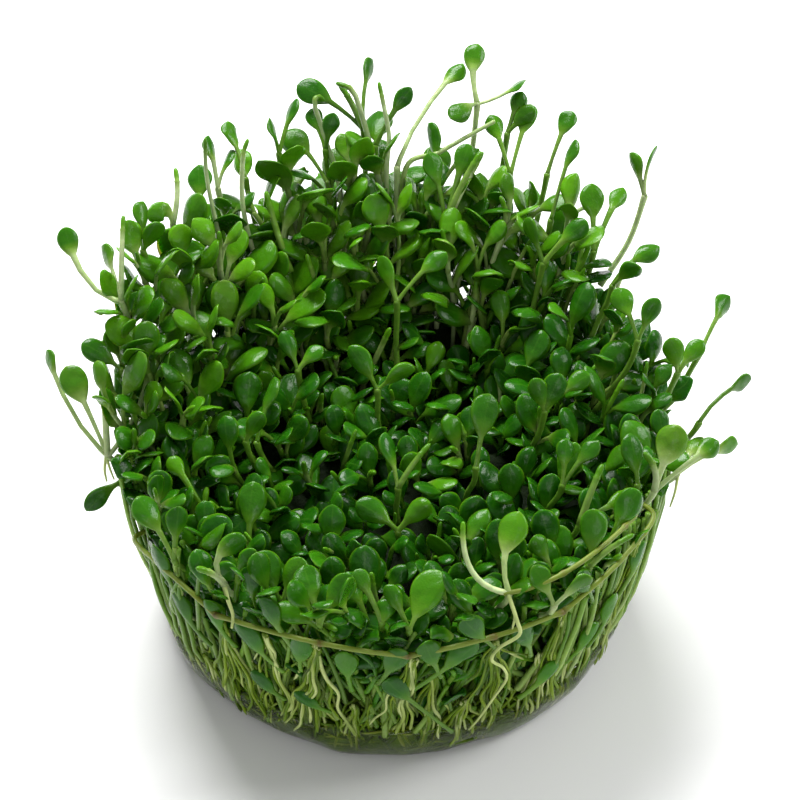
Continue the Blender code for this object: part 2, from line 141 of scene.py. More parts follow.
# Large shoots in the edge of the mass, laid out as those above
MASS_SHOOTS = (
    ((-43, 12, 43), [(2.5, 5, 8, 4.1)]),
    ((-38, 14, 42), [(1.5, 7.5, 8, 4.7)]),
    ((-11.3, 46, 57), [(-2.5, 6, 3.5, 3), (1.5, 2.5, 5.5, 3)]),
    ((19, 49, 58), [(2.5, 4.5, 5, 3), (4.5, 1, 4, 3.2)]),
    ((7.4, 44, 55), [(-1.5, 5, 5, 2.5)]),
    ((9, 36, 51), [(3.5, 8, 8.5, 3.5), (5.5, 5.5, 9, 0)]),
    ((-3, 47, 57), [(6, 5, 8, 3), (0.5, 7, 1.5, 5.2)]),
    ((38, -17, 41.7), [(-1.5, 5.5, 5.5, 3.8)]),
    ((-1.6, -42, 37.7), [(-4, 5.5, 5.5, 2.8), (1, 2.5, 2.5, 3)]),
    ((-12.8, -40.5, 26.5), [(-6, 6, 8.5, 3.3)]),
    ((-22.6, -26, 32.7), [(1, 9, 9.5, 4.7)]),
    ((-29.6, -16, 34.4), [(-5.5, 6, 6, 2.8), (0.5, 2.5, 3, 0)]),
    ((-23.3, -6, 40.3), [(3, 1.5, 4.5, 3), (-1, 2.5, 1, 3)]),
    ((-21.7, -4, 38), [(3, 8.5, 6, 2.7)]),
    ((-15.3, 8, 42.5), [(-2.5, 4, 4.5, 3), (4, 2.5, 2.5, 3)]),
    ((0.8, -22, 36.6), [(-6.5, 3, 3, 4.1), (5, 1.5, 4.5, 3.5)]),
    ((26.4, -16, 40.6), [(0.5, 5, 5, 3), (5.5, 4.5, 5, 3)]),
    ((28.7, -24, 40), [(3.5, 6.5, 6.5, 0), (8.5, 4.5, 1.5, 3.2)]),
    ((24, -2, 43), [(2.5, 3, 5, 4.1), (7, 3.5, 4.5, 3.2), (-2, 2.5, 4.5, 3.2)]),
    ((-9, -41.5, 33.5), [(-8.5, 2.5, 4.5, 3.6)]),
    ((-17, -37, 36), [(-3, 5, 6.5, 4.6), (3.5, 4, 6, 3.8)]),
    ((33, -27, 39), [(4.5, 5, 6.5, 4.4)]),
)

# Pale roots that hang free from joints of the clear shoots: points, and radius at the joint
PALE_ROOTS = (
    (((17.3, -38.6, 40.2), (18.6, -41.5, 37.5), (19, -42.2, 35), (16, -42.6, 32.5),
      (15, -42.4, 29.5), (16.8, -41.8, 27), (17.4, -40.6, 23), (15.5, -40.2, 18),
      (13.4, -40, 13), (11.9, -39.6, 9.8)), 0.34),
    (((17.3, -38.6, 40.2), (18.3, -40.6, 38), (18, -41.4, 35.5)), 0.3),
    (((-25.5, -35, 38.3), (-24.9, -36.6, 36.6), (-24.2, -37.8, 34.6), (-24.4, -38.6, 32.5)), 0.4),
    (((-46, -2, 32.8), (-46.3, -3, 30.6), (-46.1, -3.4, 28.4)), 0.3),
    (((-46, -2, 32.8), (-45.4, -3.2, 31), (-44.8, -3.9, 29.3)), 0.26),
    (((45, -9, 35.8), (44.6, -10.5, 33.4), (43.9, -11.4, 30.8)), 0.3),
)

# Stems with no leaves left on them, or with only a bud, which grew long and pale: points,
# and whether a bud ends them
LOOSE_STEMS = (
    (((1.9, 43, 54.7), (7.4, 45, 56.8), (12.7, 47, 59), (16.6, 48, 61)), False),
    (((-1.6, 41, 47.5), (-3.6, 45.5, 56.6), (-5.4, 48.5, 62.7), (-6.8, 50.5, 65.7),
      (-9.5, 51.5, 66.4)), True),
    (((-9, 43, 51.3), (-11.2, 47, 57.6), (-12.3, 49, 60.6), (-13.1, 50, 63.2),
      (-12.5, 51, 64), (-11.3, 51, 62.8)), True),
    (((8.4, 36, 45.3), (10.7, 39, 51.7), (13.3, 42, 55.6), (14.8, 43, 58.7)), True),
    (((-1.1, 43, 53.8), (-0.7, 46, 59.3), (-1.5, 48.5, 63.5), (-2.4, 51, 67)), True),
    (((26.3, 22, 36.1), (26.1, 24, 41.2), (24.3, 26, 42.9), (24.3, 27, 45.5),
      (25.3, 27, 48.6)), True),
    (((32.5, 21, 37.3), (35.8, 23, 43.8), (37.9, 25, 50.4)), True),
    (((-27.4, 29, 46.5), (-29.6, 33, 55.7), (-30.5, 36, 60.6), (-30.5, 38, 65.7)), True),
    (((-24.5, 34, 52.9), (-24.5, 37, 61.9), (-23.6, 38.5, 65.1)), True),
    (((30.3, 35, 40.2), (29.6, 37, 44.7), (30, 38, 49.3), (32.6, 39, 50.6)), False),
)

# The creeping stem that lies over the rim on the right
RIM_RUNNER = ((16.6, -38.6, 40.2), (20.5, -38, 40.8), (25.6, -35.6, 41.4), (31, -31, 41.6),
              (35.4, -26, 41.6), (37.2, -23.2, 41.2), (37, -20.5, 39.6))

# Leaves that lie on the wall: bearing and height of the stalk's foot and of the tip, and width
WALL_LEAVES = (
    ((-107.8, 26.6), (-116.1, 41.5), 4),
    ((-98.6, 21.3), (-99.4, 33), 4),
    ((-76.7, 8.9), (-91.6, 26.1), 4.2),
    ((-86, 22), (-73.4, 34), 4.6),
    ((-68.6, 29.5), (-76.8, 40.5), 4.2),
    ((-113.6, 22.3), (-122.4, 32.5), 4.6),
    ((-109.3, 24.5), (-108, 34.5), 4.2),
    ((-114.1, 14.5), (-121.2, 20), 3.4),
    ((-44.6, 29.2), (-52.1, 41), 4),
    ((-35.2, 22), (-28.5, 33.5), 3.8),
    ((-41.5, 15.5), (-37.5, 27), 4),
    ((-50.6, 15.4), (-41.5, 22.5), 3.6),
    ((-138.4, 26), (-144.8, 37.6), 4.4),
    ((-133.4, 19.1), (-141.4, 28.6), 4),
    ((-103.7, 14.4), (-111.4, 18.3), 3.2),
    ((-61, 12.9), (-52.6, 19.4), 3.4),
    ((-60, 24), (-64.5, 35), 4.2),
    ((-80, 25), (-84, 36), 4),
    ((-125, 24), (-130, 34), 4),
    ((-93, 24), (-88, 34.5), 4.2),
)

# The creeping stems, each by bearing in degrees from +X and height, as in the CAD model
RUNNER_REACH = 1.2
RUNNER_RADIUS = 0.4
JOINT_SWELL = 1.4
INTO_JOINT = 0.7
END_DEPTH = 2.6
RUNNERS = {
    "runner_left": ((-156, 30), (-146, 33), (-137, 34), (-128, 32)),
    "runner_front_left": ((-126.5, 32), (-116, 34), (-110, 34.5), (-105, 34.5)),
    "runner_front": ((-103.5, 34.5), (-96, 34), (-88, 33)),
    "runner_front_middle": ((-86, 33), (-79, 34), (-71, 34.5)),
    "runner_front_right": ((-69.5, 34.5), (-63, 34.5), (-56, 34)),
    "runner_right": ((-54, 34), (-45, 36), (-36, 37), (-28, 38)),
}

# The bundles of roots: bearing, top, foot and fullness, as in the CAD model
TASSELS = {
    "root_tassel_left": (-127, 30, 10.5, 1.1),
    "root_tassel_front_left": (-116, 32, 12, 0.8),
    "root_tassel_front": (-105, 32.5, 10, 1.3),
    "root_tassel_front_middle": (-86, 31, 13, 0.8),
    "root_tassel_front_right": (-69, 32, 14, 1),
    "root_tassel_right": (-54, 32, 10, 1.1),
    "root_tassel_side": (-31, 34, 20, 0.9),
}


# Shape of the portion


def wall_radius(height):
    return float(np.interp(height, WALL_HEIGHTS, WALL_RADII))


def top_height(x, y):
    radius = math.hypot(x, y)
    reach = radius / RIM_RADIUS
    toward_back = y / radius if radius > 0 else 0
    rise = (BACK_RISE + FRONT_RISE) / 2 + toward_back * (BACK_RISE - FRONT_RISE) / 2
    return CENTRE_HEIGHT + rise * reach**2 - RIM_ROUNDING * reach**8


def on_wall(bearing, height, out):
    angle = math.radians(bearing)
    radius = wall_radius(height) + out
    return np.array((radius * math.cos(angle), radius * math.sin(angle), height))


def widened(points, scale):
    """Points moved out from the cup's axis by a scale of their own, or in."""
    moved = points.copy()
    moved[..., :2] *= scale[..., None]
    return moved


def pressed(points, inset):
    """Points below the cup's line, moved in to where the cup's wall held them."""
    radii = np.hypot(points[..., 0], points[..., 1])
    limits = np.interp(points[..., 2], WALL_HEIGHTS, WALL_RADII) - inset
    # Above the line the wall lets go, less so on the left
    ease = np.where(points[..., 0] < -0.6 * radii, 0.25, 0.55)
    limits = limits + np.clip(points[..., 2] - CUP_LINE, 0, None) * ease
    return widened(points, np.minimum(1, limits / np.maximum(radii, 1e-6)))


# Vector helpers


def unit(vector):
    return vector / np.linalg.norm(vector)


def away_from_axis(point):
    """The level way from the cup's axis out through a point."""
    return unit(np.array((point[0], point[1], 0)))


def turned(vector, axis, angle):
    """A vector turned about a unit axis."""
    return (
        vector * math.cos(angle)
        + np.cross(axis, vector) * math.sin(angle)
        + axis * np.dot(axis, vector) * (1 - math.cos(angle))
    )


def length_of(line):
    return np.linalg.norm(np.diff(line, axis=0), axis=1).sum()


def tangents_of(line):
    tangents = np.gradient(line, axis=0)
    return tangents / np.linalg.norm(tangents, axis=1, keepdims=True)


def share(value):
    """A value held between 0 and 1."""
    return np.clip(value, 0, 1)


def resampled(line, shares):
    """Points at these shares of a line's length."""
    steps = np.linalg.norm(np.diff(line, axis=0), axis=1)
    run = np.concatenate(([0], np.cumsum(steps)))
    places = np.asarray(shares) * run[-1]
    return np.stack([np.interp(places, run, line[:, axis]) for axis in range(3)], axis=1)


def bezier_line(start, middle, end, count=24):
    t = np.linspace(0, 1, count)[:, None]
    return start * (1 - t) ** 2 + middle * 2 * t * (1 - t) + end * t**2


def smooth_line(points, count):
    """A smooth line through points, as a Catmull-Rom spline."""
    points = np.asarray(points, float)
    ends = np.vstack((2 * points[0] - points[1], points, 2 * points[-1] - points[-2]))
    places = np.linspace(0, len(points) - 1 - 1e-9, count)
    index = places.astype(int)
    t = (places - index)[:, None]
    p0, p1, p2, p3 = (ends[index + shift] for shift in range(4))
    square, cube = 2 * p0 - 5 * p1 + 4 * p2 - p3, 3 * p1 - p0 - 3 * p2 + p3
    return 0.5 * (2 * p1 + (p2 - p0) * t + square * t**2 + cube * t**3)


# Gathering tissue into meshes


class Tissue:
    """The points, faces and marks of one piece.

    A mark is four numbers on each point: greenness from whitish stem to blade, place across
    the blade from margin to margin, the leaf's own tone, and its youth.
    """

    def __init__(self):
        self.points = []
        self.quads = []
        self.triangles = []
        self.marks = []
        self.count = 0

    def add_rings(self, rings, marks):
        """A closed skin over rings of points, with a fan over each end."""
        total, sides = rings.shape[:2]
        start = self.count
        index = start + np.arange(total * sides).reshape(total, sides)
        after = np.roll(index, -1, axis=1)
        quads = np.stack((index[:-1], index[1:], after[1:], after[:-1]), axis=-1)
        low_middle = start + total * sides
        high_middle = low_middle + 1
        low_fan = np.stack((np.full(sides, low_middle), index[0], after[0]), axis=-1)
        high_fan = np.stack((np.full(sides, high_middle), after[-1], index[-1]), axis=-1)
        middles = np.stack((rings[0].mean(axis=0), rings[-1].mean(axis=0)))
        self.points.append(np.concatenate((rings.reshape(-1, 3), middles)))
        middle_marks = np.stack((marks[0].mean(axis=0), marks[-1].mean(axis=0)))
        self.marks.append(np.concatenate((marks.reshape(-1, 4), middle_marks)))
        self.quads.append(quads.reshape(-1, 4))
        self.triangles.append(np.concatenate((low_fan, high_fan)))
        self.count += total * sides + 2

    def as_object(self, name, material, slot, nodes):
        """The finished mesh, riding on the root and standing for its CAD nodes."""
        points = np.concatenate(self.points) * MM
        quads = np.concatenate(self.quads)
        triangles = np.concatenate(self.triangles)
        mesh = bpy.data.meshes.new(name)
        mesh.vertices.add(len(points))
        mesh.vertices.foreach_set("co", points.astype(np.float32).ravel())
        loops = np.concatenate((quads.ravel(), triangles.ravel()))
        sizes = np.concatenate((np.full(len(quads), 4), np.full(len(triangles), 3)))
        starts = np.concatenate(([0], np.cumsum(sizes)[:-1]))
        mesh.loops.add(len(loops))
        mesh.loops.foreach_set("vertex_index", loops.astype(np.int32))
        mesh.polygons.add(len(sizes))
        mesh.polygons.foreach_set("loop_start", starts.astype(np.int32))
        mesh.update(calc_edges=True)
        mesh.shade_smooth()
        mark = mesh.color_attributes.new("mark", "FLOAT_COLOR", "POINT")
        mark.data.foreach_set("color", np.concatenate(self.marks).astype(np.float32).ravel())
        mesh.materials.append(material)
        piece = bpy.data.objects.new(name, mesh)
        bpy.context.scene.collection.objects.link(piece)
        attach(piece, "root")
        if nodes:
            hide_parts(*nodes)


def marks_on(rings, green, across, tone, youth):
    """The marks of rings, each of the four given for all points or for each."""
    shape = rings.shape[:2]
    return np.stack([np.broadcast_to(part, shape) for part in (green, across, tone, youth)], axis=-1)


def frames_along(path, side):
    """Side and face at each point of a path, with the side kept near the one given."""
    tangents = tangents_of(path)
    sides = side - tangents * np.sum(side * tangents, axis=1, keepdims=True)
    sides /= np.linalg.norm(sides, axis=1, keepdims=True)
    return sides, np.cross(sides, tangents)


def add_tube(tissue, line, radii, sides, greens, tone, youth, inset=None):
    """A round stem, stalk or root along a line."""
    tangents = tangents_of(line)
    side = unit(np.cross(tangents[0], SLANTED))
    around = 2 * np.pi * np.arange(sides) / sides
    rings = []
    for point, tangent, radius in zip(line, tangents, radii):
        side = unit(side - tangent * np.dot(side, tangent))
        face = np.cross(side, tangent)
        rings.append(point + radius * (np.outer(np.cos(around), side) + np.outer(np.sin(around), face)))
    rings = np.array(rings)
    if inset is not None:
        rings = pressed(rings, inset)
    greens = np.broadcast_to(greens, len(line))[:, None]
    tissue.add_rings(rings, marks_on(rings, greens, 0.5, tone, youth))


STALK_SHARES = np.array((0, 0.09, 0.4, 0.76))
BLADE_SHARES = np.array((0, 0.13, 0.26, 0.38, 0.49, 0.59, 0.69, 0.78, 0.86, 0.925, 0.972, 1))
WIDEST = 0.56


def blade_outline(along, point):
    """How far a blade has spread, from 0 at the stalk to 1 where it is widest and back to 0 at
    the tip. A point of 2 makes a round tip, and less a pointed one."""
    rise = share(along / WIDEST)
    fall = share((along - WIDEST) / (1 - WIDEST))
    lower = rise**1.1 * (1.9 - 0.9 * rise)
    upper = share(1 - fall**point) ** 0.55
    return np.where(along < WIDEST, lower, upper)


def add_leaf(tissue, line, side, width, look, sides=8, inset=None):
    """A fleshy spoon-shaped leaf along a line: its stalk, which widens into the blade.

    The look gives tone, youth, the stalk's green, the blade's green, and the curl, which bends
    the margins down where it is above 0 and up where it is below.
    """
    length = length_of(line)
    blade_start = max(0.12, 1 - look["ratio"] * width / length)
    shares = np.concatenate((STALK_SHARES * blade_start, blade_start + BLADE_SHARES * (1 - blade_start)))
    path = resampled(line, shares)
    across, face = frames_along(path, side)
    on_blade = np.concatenate((np.zeros(len(STALK_SHARES)), BLADE_SHARES))
    outline = blade_outline(on_blade, look["point"])
    along_stalk = share(shares / blade_start)
    # The stalk is broad where it clasps the stem and again where it widens into the blade
    clasp = share(1 - along_stalk / 0.3) ** 2
    stalk = look["stalk"] * (0.85 + 0.45 * clasp + 0.4 * along_stalk**3)
    half_width = np.where(
        on_blade < WIDEST,
        stalk + (width / 2 - stalk) * outline,
        np.maximum(outline * width / 2, 0.05 * width),
    )
    fade = share(on_blade * 2.5)
    depth = look["depth"] * np.sqrt(np.clip(1 - on_blade**5, 0.1, 1))
    half_depth = look["stalk"] * 0.85 * (1 - fade) + depth * fade
    around = 2 * np.pi * np.arange(sides) / sides
    place = np.cos(around)
    width_part = half_width[:, None] * place
    bend = look["curl"] * fade
    lift = half_depth[:, None] * np.sin(around) - bend[:, None] * half_width[:, None] * place**2
    # The midrib is a shallow furrow on the upper face
    furrow = 0.12 * fade * (1 - on_blade)
    lift -= furrow[:, None] * share(1 - np.abs(place) * 3.2) * (np.sin(around) > 0)
    # The margin waves a little
    wave = look["wave"] * np.sin(on_blade * 7 + look["tone"] * 20) * fade
    lift += wave[:, None] * place[None, :] * np.abs(place[None, :])
    rings = path[:, None] + width_part[..., None] * across[:, None] + lift[..., None] * face[:, None]
    if inset is not None:
        rings = pressed(rings, inset)
    turn_green = share(on_blade / 0.5)
    green = look["stalk_green"] + (look["green"] - look["stalk_green"]) * turn_green
    # The tip is paler, a painted highlight
    green[-2:] -= 0.18
    from_margin = 0.5 + 0.5 * place * fade[:, None]
    tissue.add_rings(rings, marks_on(rings, green[:, None], from_margin, look["tone"], look["youth"]))


def add_bud(tissue, line, width, look):
    """A stalk with two small leaves at its tip, still closed on each other."""
    length = length_of(line)
    tip = np.array((2.6, 2.3, 2.05, 1.5, 0.9, 0.4, 0.12, 0)) / max(length, 4)
    below = np.linspace(0, 1 - tip[0], max(3, int(length / 1.6)), endpoint=False)
    shares = np.concatenate((below, 1 - tip))
    head = (0.84, 0.96, 0.76, 0.84, 0.84, 0.70, 0.48, 0.22)
    swell = np.concatenate((np.linspace(1, 0.82, len(below)), head))
    near_tip = share((shares - 1 + 1.4 * tip[0]) / tip[0])
    stalk_green = max(0, look["stalk_green"] - 0.1)
    greens = stalk_green + (0.52 - stalk_green) * near_tip
    radii = look["stalk"] * swell * width * 1.08
    add_tube(tissue, resampled(line, shares), radii, 8, greens, look["tone"], 1)


def leaf_look(rng, youth=0.4, pale=0, painted_shade=0):
    """One leaf's colour and build, drawn at random about the usual; painted shade darkens its greens,
    and lightens them where it is below 0.
    """
    return {
        "tone": share(rng.normal(0.5, 0.22)),
        "youth": share(rng.normal(youth, 0.14)),
        # Painted shade deepens the stalk's and the blade's green
        "stalk_green": share(rng.normal(0.44 - 0.36 * pale + 0.14 * painted_shade, 0.03)),
        "green": np.clip(rng.normal(0.80 - 0.14 * pale + 0.16 * painted_shade, 0.05), 0.4, 1),
        "curl": rng.normal(0.20, 0.14),
        "wave": rng.normal(0, 0.16),
        "ratio": rng.uniform(1.2, 1.6),
        "point": rng.choice((1.7, 2, 2.3, 2.6)),
        "stalk": STALK_HALF * rng.uniform(0.8, 1.15),
        "depth": BLADE_HALF_DEPTH * rng.uniform(0.85, 1.2),
    }


# Room that leaves take, so that those grown later go round them

BLADE_ROOM = 0.95
STALK_ROOM = 0.5
MOST_CROWDING = 0.7
LEAF_TRIES = 6


class Room:
    def __init__(self):
        self.points = np.zeros((0, 3))
        self.radii = np.zeros(0)

    def crowding(self, points, radius):
        """How deep the worst of these points would sit in what is there already."""
        if len(self.points) == 0:
            return 0
        gaps = np.linalg.norm(self.points[None] - points[:, None], axis=2)
        return float((self.radii[None] + radius - gaps).max())

    def take(self, points, radius):
        self.points = np.concatenate((self.points, points))
        self.radii = np.concatenate((self.radii, np.full(len(points), radius)))


room = Room()


# The shoots that stand clear

LOWEST_FOOT = 29


def rounded_end(line, radii):
    """A line and its radii with a dome over the far end, as a joint closes."""
    way = unit(line[-1] - line[-2])
    last = radii[-1]
    dome = np.array([line[-1] + way * last * reach for reach in (0.45, 0.8, 0.98)])
    return np.vstack((line, dome)), np.concatenate((radii, last * np.array((0.93, 0.68, 0.28))))


def add_clear_shoot(tissue, fork, leaves, pale, rng, bows, sides=12):
    """A shoot that stands clear: its stem out of the mass, and its leaves and buds by their ways."""
    fork = np.array(fork, float)
    foot = np.array((fork[0] * 0.83, fork[1] * 0.83, max(fork[2] - 15, LOWEST_FOOT)))
    foot = pressed(foot[None], 2)[0]
    # The stem leaves the mass leaning and turns up to the light
    bow = foot + (fork - foot) * np.array((0.72, 0.72, 0.36))
    way = unit(fork - bow)
    stem = bezier_line(foot, bow, fork - way * 0.5, 12)
    across = unit(np.cross(way, (0.3, 0.2, 0.9)))
    snake = np.sin(np.linspace(0, rng.uniform(4, 8), 12) + rng.uniform(0, 6)) * 0.35
    stem = stem + across * (snake * np.sin(np.linspace(0, math.pi, 12)))[:, None]
    green = 0.46 - 0.42 * pale
    radii = STEM_RADIUS * np.interp(range(12), (0, 4, 9, 10, 11), (1.1, 0.96, 0.94, 1.02, 1.16))
    add_tube(tissue, *rounded_end(stem, radii), 10, green, 0.5, 0.4)
    room.take(stem[5:], 0.6)
    # Leaves of the mass keep off the way to the joint, so it stays in sight
    room.take(fork + np.outer((0, 2.5, 5), TO_EYE), 1.1)
    for number, (*way, width) in enumerate(leaves):
        way = np.array(way, float)
        length = np.linalg.norm(way)
        look = leaf_look(rng, youth=0.55, pale=pale)
        middle = np.array(bows.get(number, way * 0.42 + UP * 0.16 * length))
        start = fork - unit(fork - bow) * 0.35
        line = bezier_line(start, fork + middle, fork + way)
        if not width:
            add_bud(tissue, line, 1.3, look)
            room.take(resampled(line, (0.2, 0.5, 0.9)), 0.8)
            continue
        side = unit(np.cross(way, BLADE_FACING))
        side = turned(side, unit(way), rng.normal(0, 0.25))
        if width < FOLDED_WIDTH:
            roll = math.acos(width / OPEN_WIDTH)
            side = turned(side, unit(way), roll if rng.random() < 0.5 else -roll)
            width = OPEN_WIDTH * 0.92
        add_leaf(tissue, line, side, width, look, sides=sides)
        room.take(resampled(line, (0.15, 0.35)), 0.7)
        room.take(resampled(line, (0.55, 0.72, 0.88)), 1.7)
        if pale > 0.5:
            # The mass is open in front of a pale stalk
            for reach in (3, 6.5, 10, 14):
                room.take(resampled(line, (0.15, 0.4, 0.65, 0.9)) + TO_EYE * reach, 1.2)


def make_clear_shoots(material):
    rng = np.random.default_rng(5)
    for name, (fork, leaves) in SHOOTS.items():
        tissue = Tissue()
        pale = 1 if name in PALE_SHOOTS else 0.14
        add_clear_shoot(tissue, fork, leaves, pale, rng, BOWS.get(name, {}))
        tissue.as_object("plantlet_" + name, material, "leaf", ["shoot_" + name])


# The dense mass of shoots


def spread(count, spacing, draw):
    """Places drawn at random that keep their distance from each other."""
    places = []
    for _ in range(count * 40):
        place = draw()
        if all(np.linalg.norm(place - other) > spacing for other in places):
            places.append(place)
            if len(places) >= count:
                break
    return places


def arching_line(base, axis, out, length, leans):
    """A line that leaves its stem steeply and then arches outward and over."""
    shares = np.linspace(0, 1, 22)
    lean = np.interp(shares, (0, 0.25, 0.6, 1), leans)
    steps = np.cos(lean)[:, None] * axis + np.sin(lean)[:, None] * out
    return base + np.concatenate((np.zeros((1, 3)), np.cumsum(steps[:-1], axis=0))) * length / 21


def blade_places(line, side, width):
    """Five places in a blade, which stand for the room it takes."""
    along = resampled(line, (0.58, 0.78, 0.95))
    return np.vstack((along, along[1] + side * width * 0.3, along[1] - side * width * 0.3))


def try_leaf(tissue, base, axis, out, size, look, rng, inset):
    """Grows a leaf the way that is least crowded, and gives up where nothing fits."""
    best = None
    for attempt in range(LEAF_TRIES):
        way = turned(out, axis, rng.normal(0, 0.25 + 0.12 * attempt))
        leans = np.array(size["leans"]) + rng.uniform(-0.15, 0.2)
        line = pressed(arching_line(base, axis, way, size["length"], leans), inset + 0.5)
        heading = unit(line[-1] - line[0])
        side = turned(unit(np.cross(way, axis)), heading, rng.normal(0, 0.35))
        # The stalk twists a little, so the blade faces the light
        to_light = np.cross(heading, LIGHT)
        side = unit(side + 0.55 * to_light * (1 if np.dot(side, to_light) > 0 else -1))
        places = blade_places(line, side, size["width"])
        crowding = room.crowding(places, BLADE_ROOM)
        if best is None or crowding < best[0]:
            best = (crowding, line, side, places)
        if crowding < 0:
            break
    crowding, line, side, places = best
    if crowding > MOST_CROWDING:
        return
    add_leaf(tissue, line, side, size["width"], look, inset=inset)
    room.take(places, BLADE_ROOM)


def grow_shoot(
    tissue, top, axis, pairs, rng, youth, painted_shade,
    inset=0, scale=1, stem_length=16, steep=1, reach=1,
):
    """A shoot from its top joint down: pairs of leaves, each turned a quarter from the last."""
    bow = unit(axis + np.array((rng.normal(0, 0.16), rng.normal(0, 0.16), 0.35)))
    foot = top - bow * stem_length
    stem = bezier_line(foot, (top + foot) / 2 + rng.normal(0, 0.8, 3), top, 8)
    stem = pressed(stem, inset + 1)
    pale = rng.choice((0, 0.15, 0.3, 0.6))
    radii = np.full(8, STEM_RADIUS * rng.uniform(0.8, 1.1))
    greens = 0.46 - 0.3 * pale + 0.3 * painted_shade
    add_tube(tissue, *rounded_end(stem, radii), 7, greens, rng.random(), youth * 0.4)
    bearing = rng.uniform(0, 2 * math.pi)
    flat = unit(np.cross(axis, (0.31, 0.22, 0.92)))
    gap = rng.uniform(3.6, 6) / stem_length
    for pair in range(pairs):
        node = resampled(stem, (max(0.1, 1 - gap * pair),))[0]
        out = turned(flat, axis, bearing + pair * math.pi / 2)
        grown = min(1, 0.76 + 0.16 * pair) * scale * rng.uniform(0.85, 1.15)
        for direction in (out, -out):
            over = rng.choice((0, 12, 35), p=(0.5, 0.3, 0.2))
            first, last = ((8, 48), (16, 62), (26, 78))[min(pair, 2)]
            leans = np.radians((first, first + 8, last - 12, last + over)) * steep
            size = {
                "length": rng.uniform(9.5, 13.5) * grown * reach,
                "width": rng.uniform(4.6, 6.2) * grown,
                "leans": leans,
            }
            # Lower pairs are older, and painted shade darkens them as they sit deeper in the mass
            look = leaf_look(rng, youth - 0.12 * pair, pale, min(1, painted_shade + 0.27 * pair))
            try_leaf(tissue, node, axis, direction, size, look, rng, inset)
    if rng.random() < 0.45:
        length = rng.uniform(3, 8.5)
        lean = unit(axis + rng.normal(0, 0.25, 3))
        line = bezier_line(top - axis * 0.3, top + axis * length * 0.5, top + lean * length)
        add_bud(tissue, pressed(line, inset + 0.6), 1.1, leaf_look(rng, 0.9, pale))


SECTORS = 8

# How many of each kind the mass holds, and how far apart they stand at least
TALL_SHOOTS = (82, 4.9)
TOP_SHOOTS = (185, 5.7)
DEEP_SHOOTS = (130, 5.8)
THIN_STALKS = (110, 5)
WALL_SHOOTS = (150, 5.6)
LYING_LEAVES = (190, 4.8)
WALL_STEMS = 330
LONG_STEMS = 72
TALL_REACH = 45.5
TOP_REACH = 44
DEEP_REACH = 42
LOW_CROWN = 1.3


class Mass:
    """The mass's tissue, kept in sectors so that no mesh grows too large."""

    def __init__(self):
        self.sectors = [Tissue() for _ in range(SECTORS)]

    def at(self, point):
        """The tissue of the sector that a point is in."""
        bearing = (math.degrees(math.atan2(point[1], point[0])) + 360) % 360
        return self.sectors[int(bearing / (360 / SECTORS))]


def crown(x, y):
    """How far the mass's shoots stand up past its even top: more toward the back and the left."""
    radius = math.hypot(x, y)
    toward = max(0, 0.75 * y - 0.45 * x) / RIM_RADIUS
    return 5.2 * min(1, toward) * min(1, (radius / 38) ** 2)


def draw_round(rng, radius):
    reach = radius * math.sqrt(rng.random())
    angle = rng.uniform(0, 2 * math.pi)
    return np.array((reach * math.cos(angle), reach * math.sin(angle)))


def draw_tall(rng):
    """A place where the crown is high."""
    place = draw_round(rng, TALL_REACH)
    while crown(*place) < LOW_CROWN:
        place = draw_round(rng, TALL_REACH)
    return place


def draw_wall(rng):
    """A place on the wall rolled out flat: the way round it, and the height."""
    return np.array((rng.uniform(0, 2 * math.pi * LEAF_WALL), rng.uniform(19, 39)))


def outward(rng, x, y, lean):
    """A shoot's way up, which leans out near the rim."""
    radius = math.hypot(x, y)
    away = np.array((x, y, 0)) / max(radius, 1)
    wander = np.array((rng.normal(0, 0.12), rng.normal(0, 0.12), 0))
    # The left side stands straighter
    lean *= 0.4 if x < -0.6 * radius else 1
    return unit(UP + away * lean * (radius / 45) ** 2 + wander)


def add_large(mass, rng):
    """The large shoots in the mass's edge."""
    for fork, leaves in MASS_SHOOTS:
        add_clear_shoot(mass.at(fork), fork, leaves, 0.1, rng, {}, sides=10)


def add_tall(mass, rng):
    """The tall shoots of the back and the sides."""
    for x, y in spread(*TALL_SHOOTS, lambda: draw_tall(rng)):
        axis = outward(rng, x, y, 0.4)
        top = np.array((x, y, top_height(x, y) + crown(x, y) - rng.uniform(0.5, 9.5)))
        youth = rng.uniform(0.55, 1)
        # Painted light makes these young shoots paler still
        grow_shoot(mass.at(top), top, axis, 3, rng, youth, -0.8, steep=0.85, stem_length=22, reach=1.15)


def add_top(mass, rng):
    """The shoots that make the mass's top."""
    for x, y in spread(*TOP_SHOOTS, lambda: draw_round(rng, TOP_REACH)):
        axis = outward(rng, x, y, 0.5)
        # The middle is thinner, so the dark inside shows, and the back more open still
        thin = 0.2 if math.hypot(x, y) < 30 else 0.72 * (crown(x, y) > 1.6)
        # A hollow before the middle, where little stands over the dark inside
        thin = 0.6 if math.hypot(x + 2, y + 14) < 12 else thin
        if rng.random() < thin:
            continue
        height = top_height(x, y) + crown(x, y) * 0.4 - rng.uniform(4, 10)
        top = np.array((x, y, height))
        pairs = 3 if rng.random() < 0.35 else 2
        # Older in front, and darker there by painted shade; lighter by painted light where the crown
        # stands high
        front = 1 if y < -15 else 0
        painted_shade = 0.22 + 0.20 * front - 0.5 * min(1, crown(x, y) / 3)
        youth = rng.uniform(0.2, 0.6) - 0.15 * front
        grow_shoot(mass.at(top), top, axis, pairs, rng, youth, painted_shade)


def add_deep(mass, rng):
    """Shoots between the feet of the others, old and darkened by painted shade."""
    for x, y in spread(*DEEP_SHOOTS, lambda: draw_round(rng, DEEP_REACH)):
        axis = outward(rng, x, y, 0.4)
        top = np.array((x, y, max(31, top_height(x, y) - rng.uniform(8, 13))))
        grow_shoot(mass.at(top), top, axis, 2, rng, 0.15, 0.8, scale=0.85)


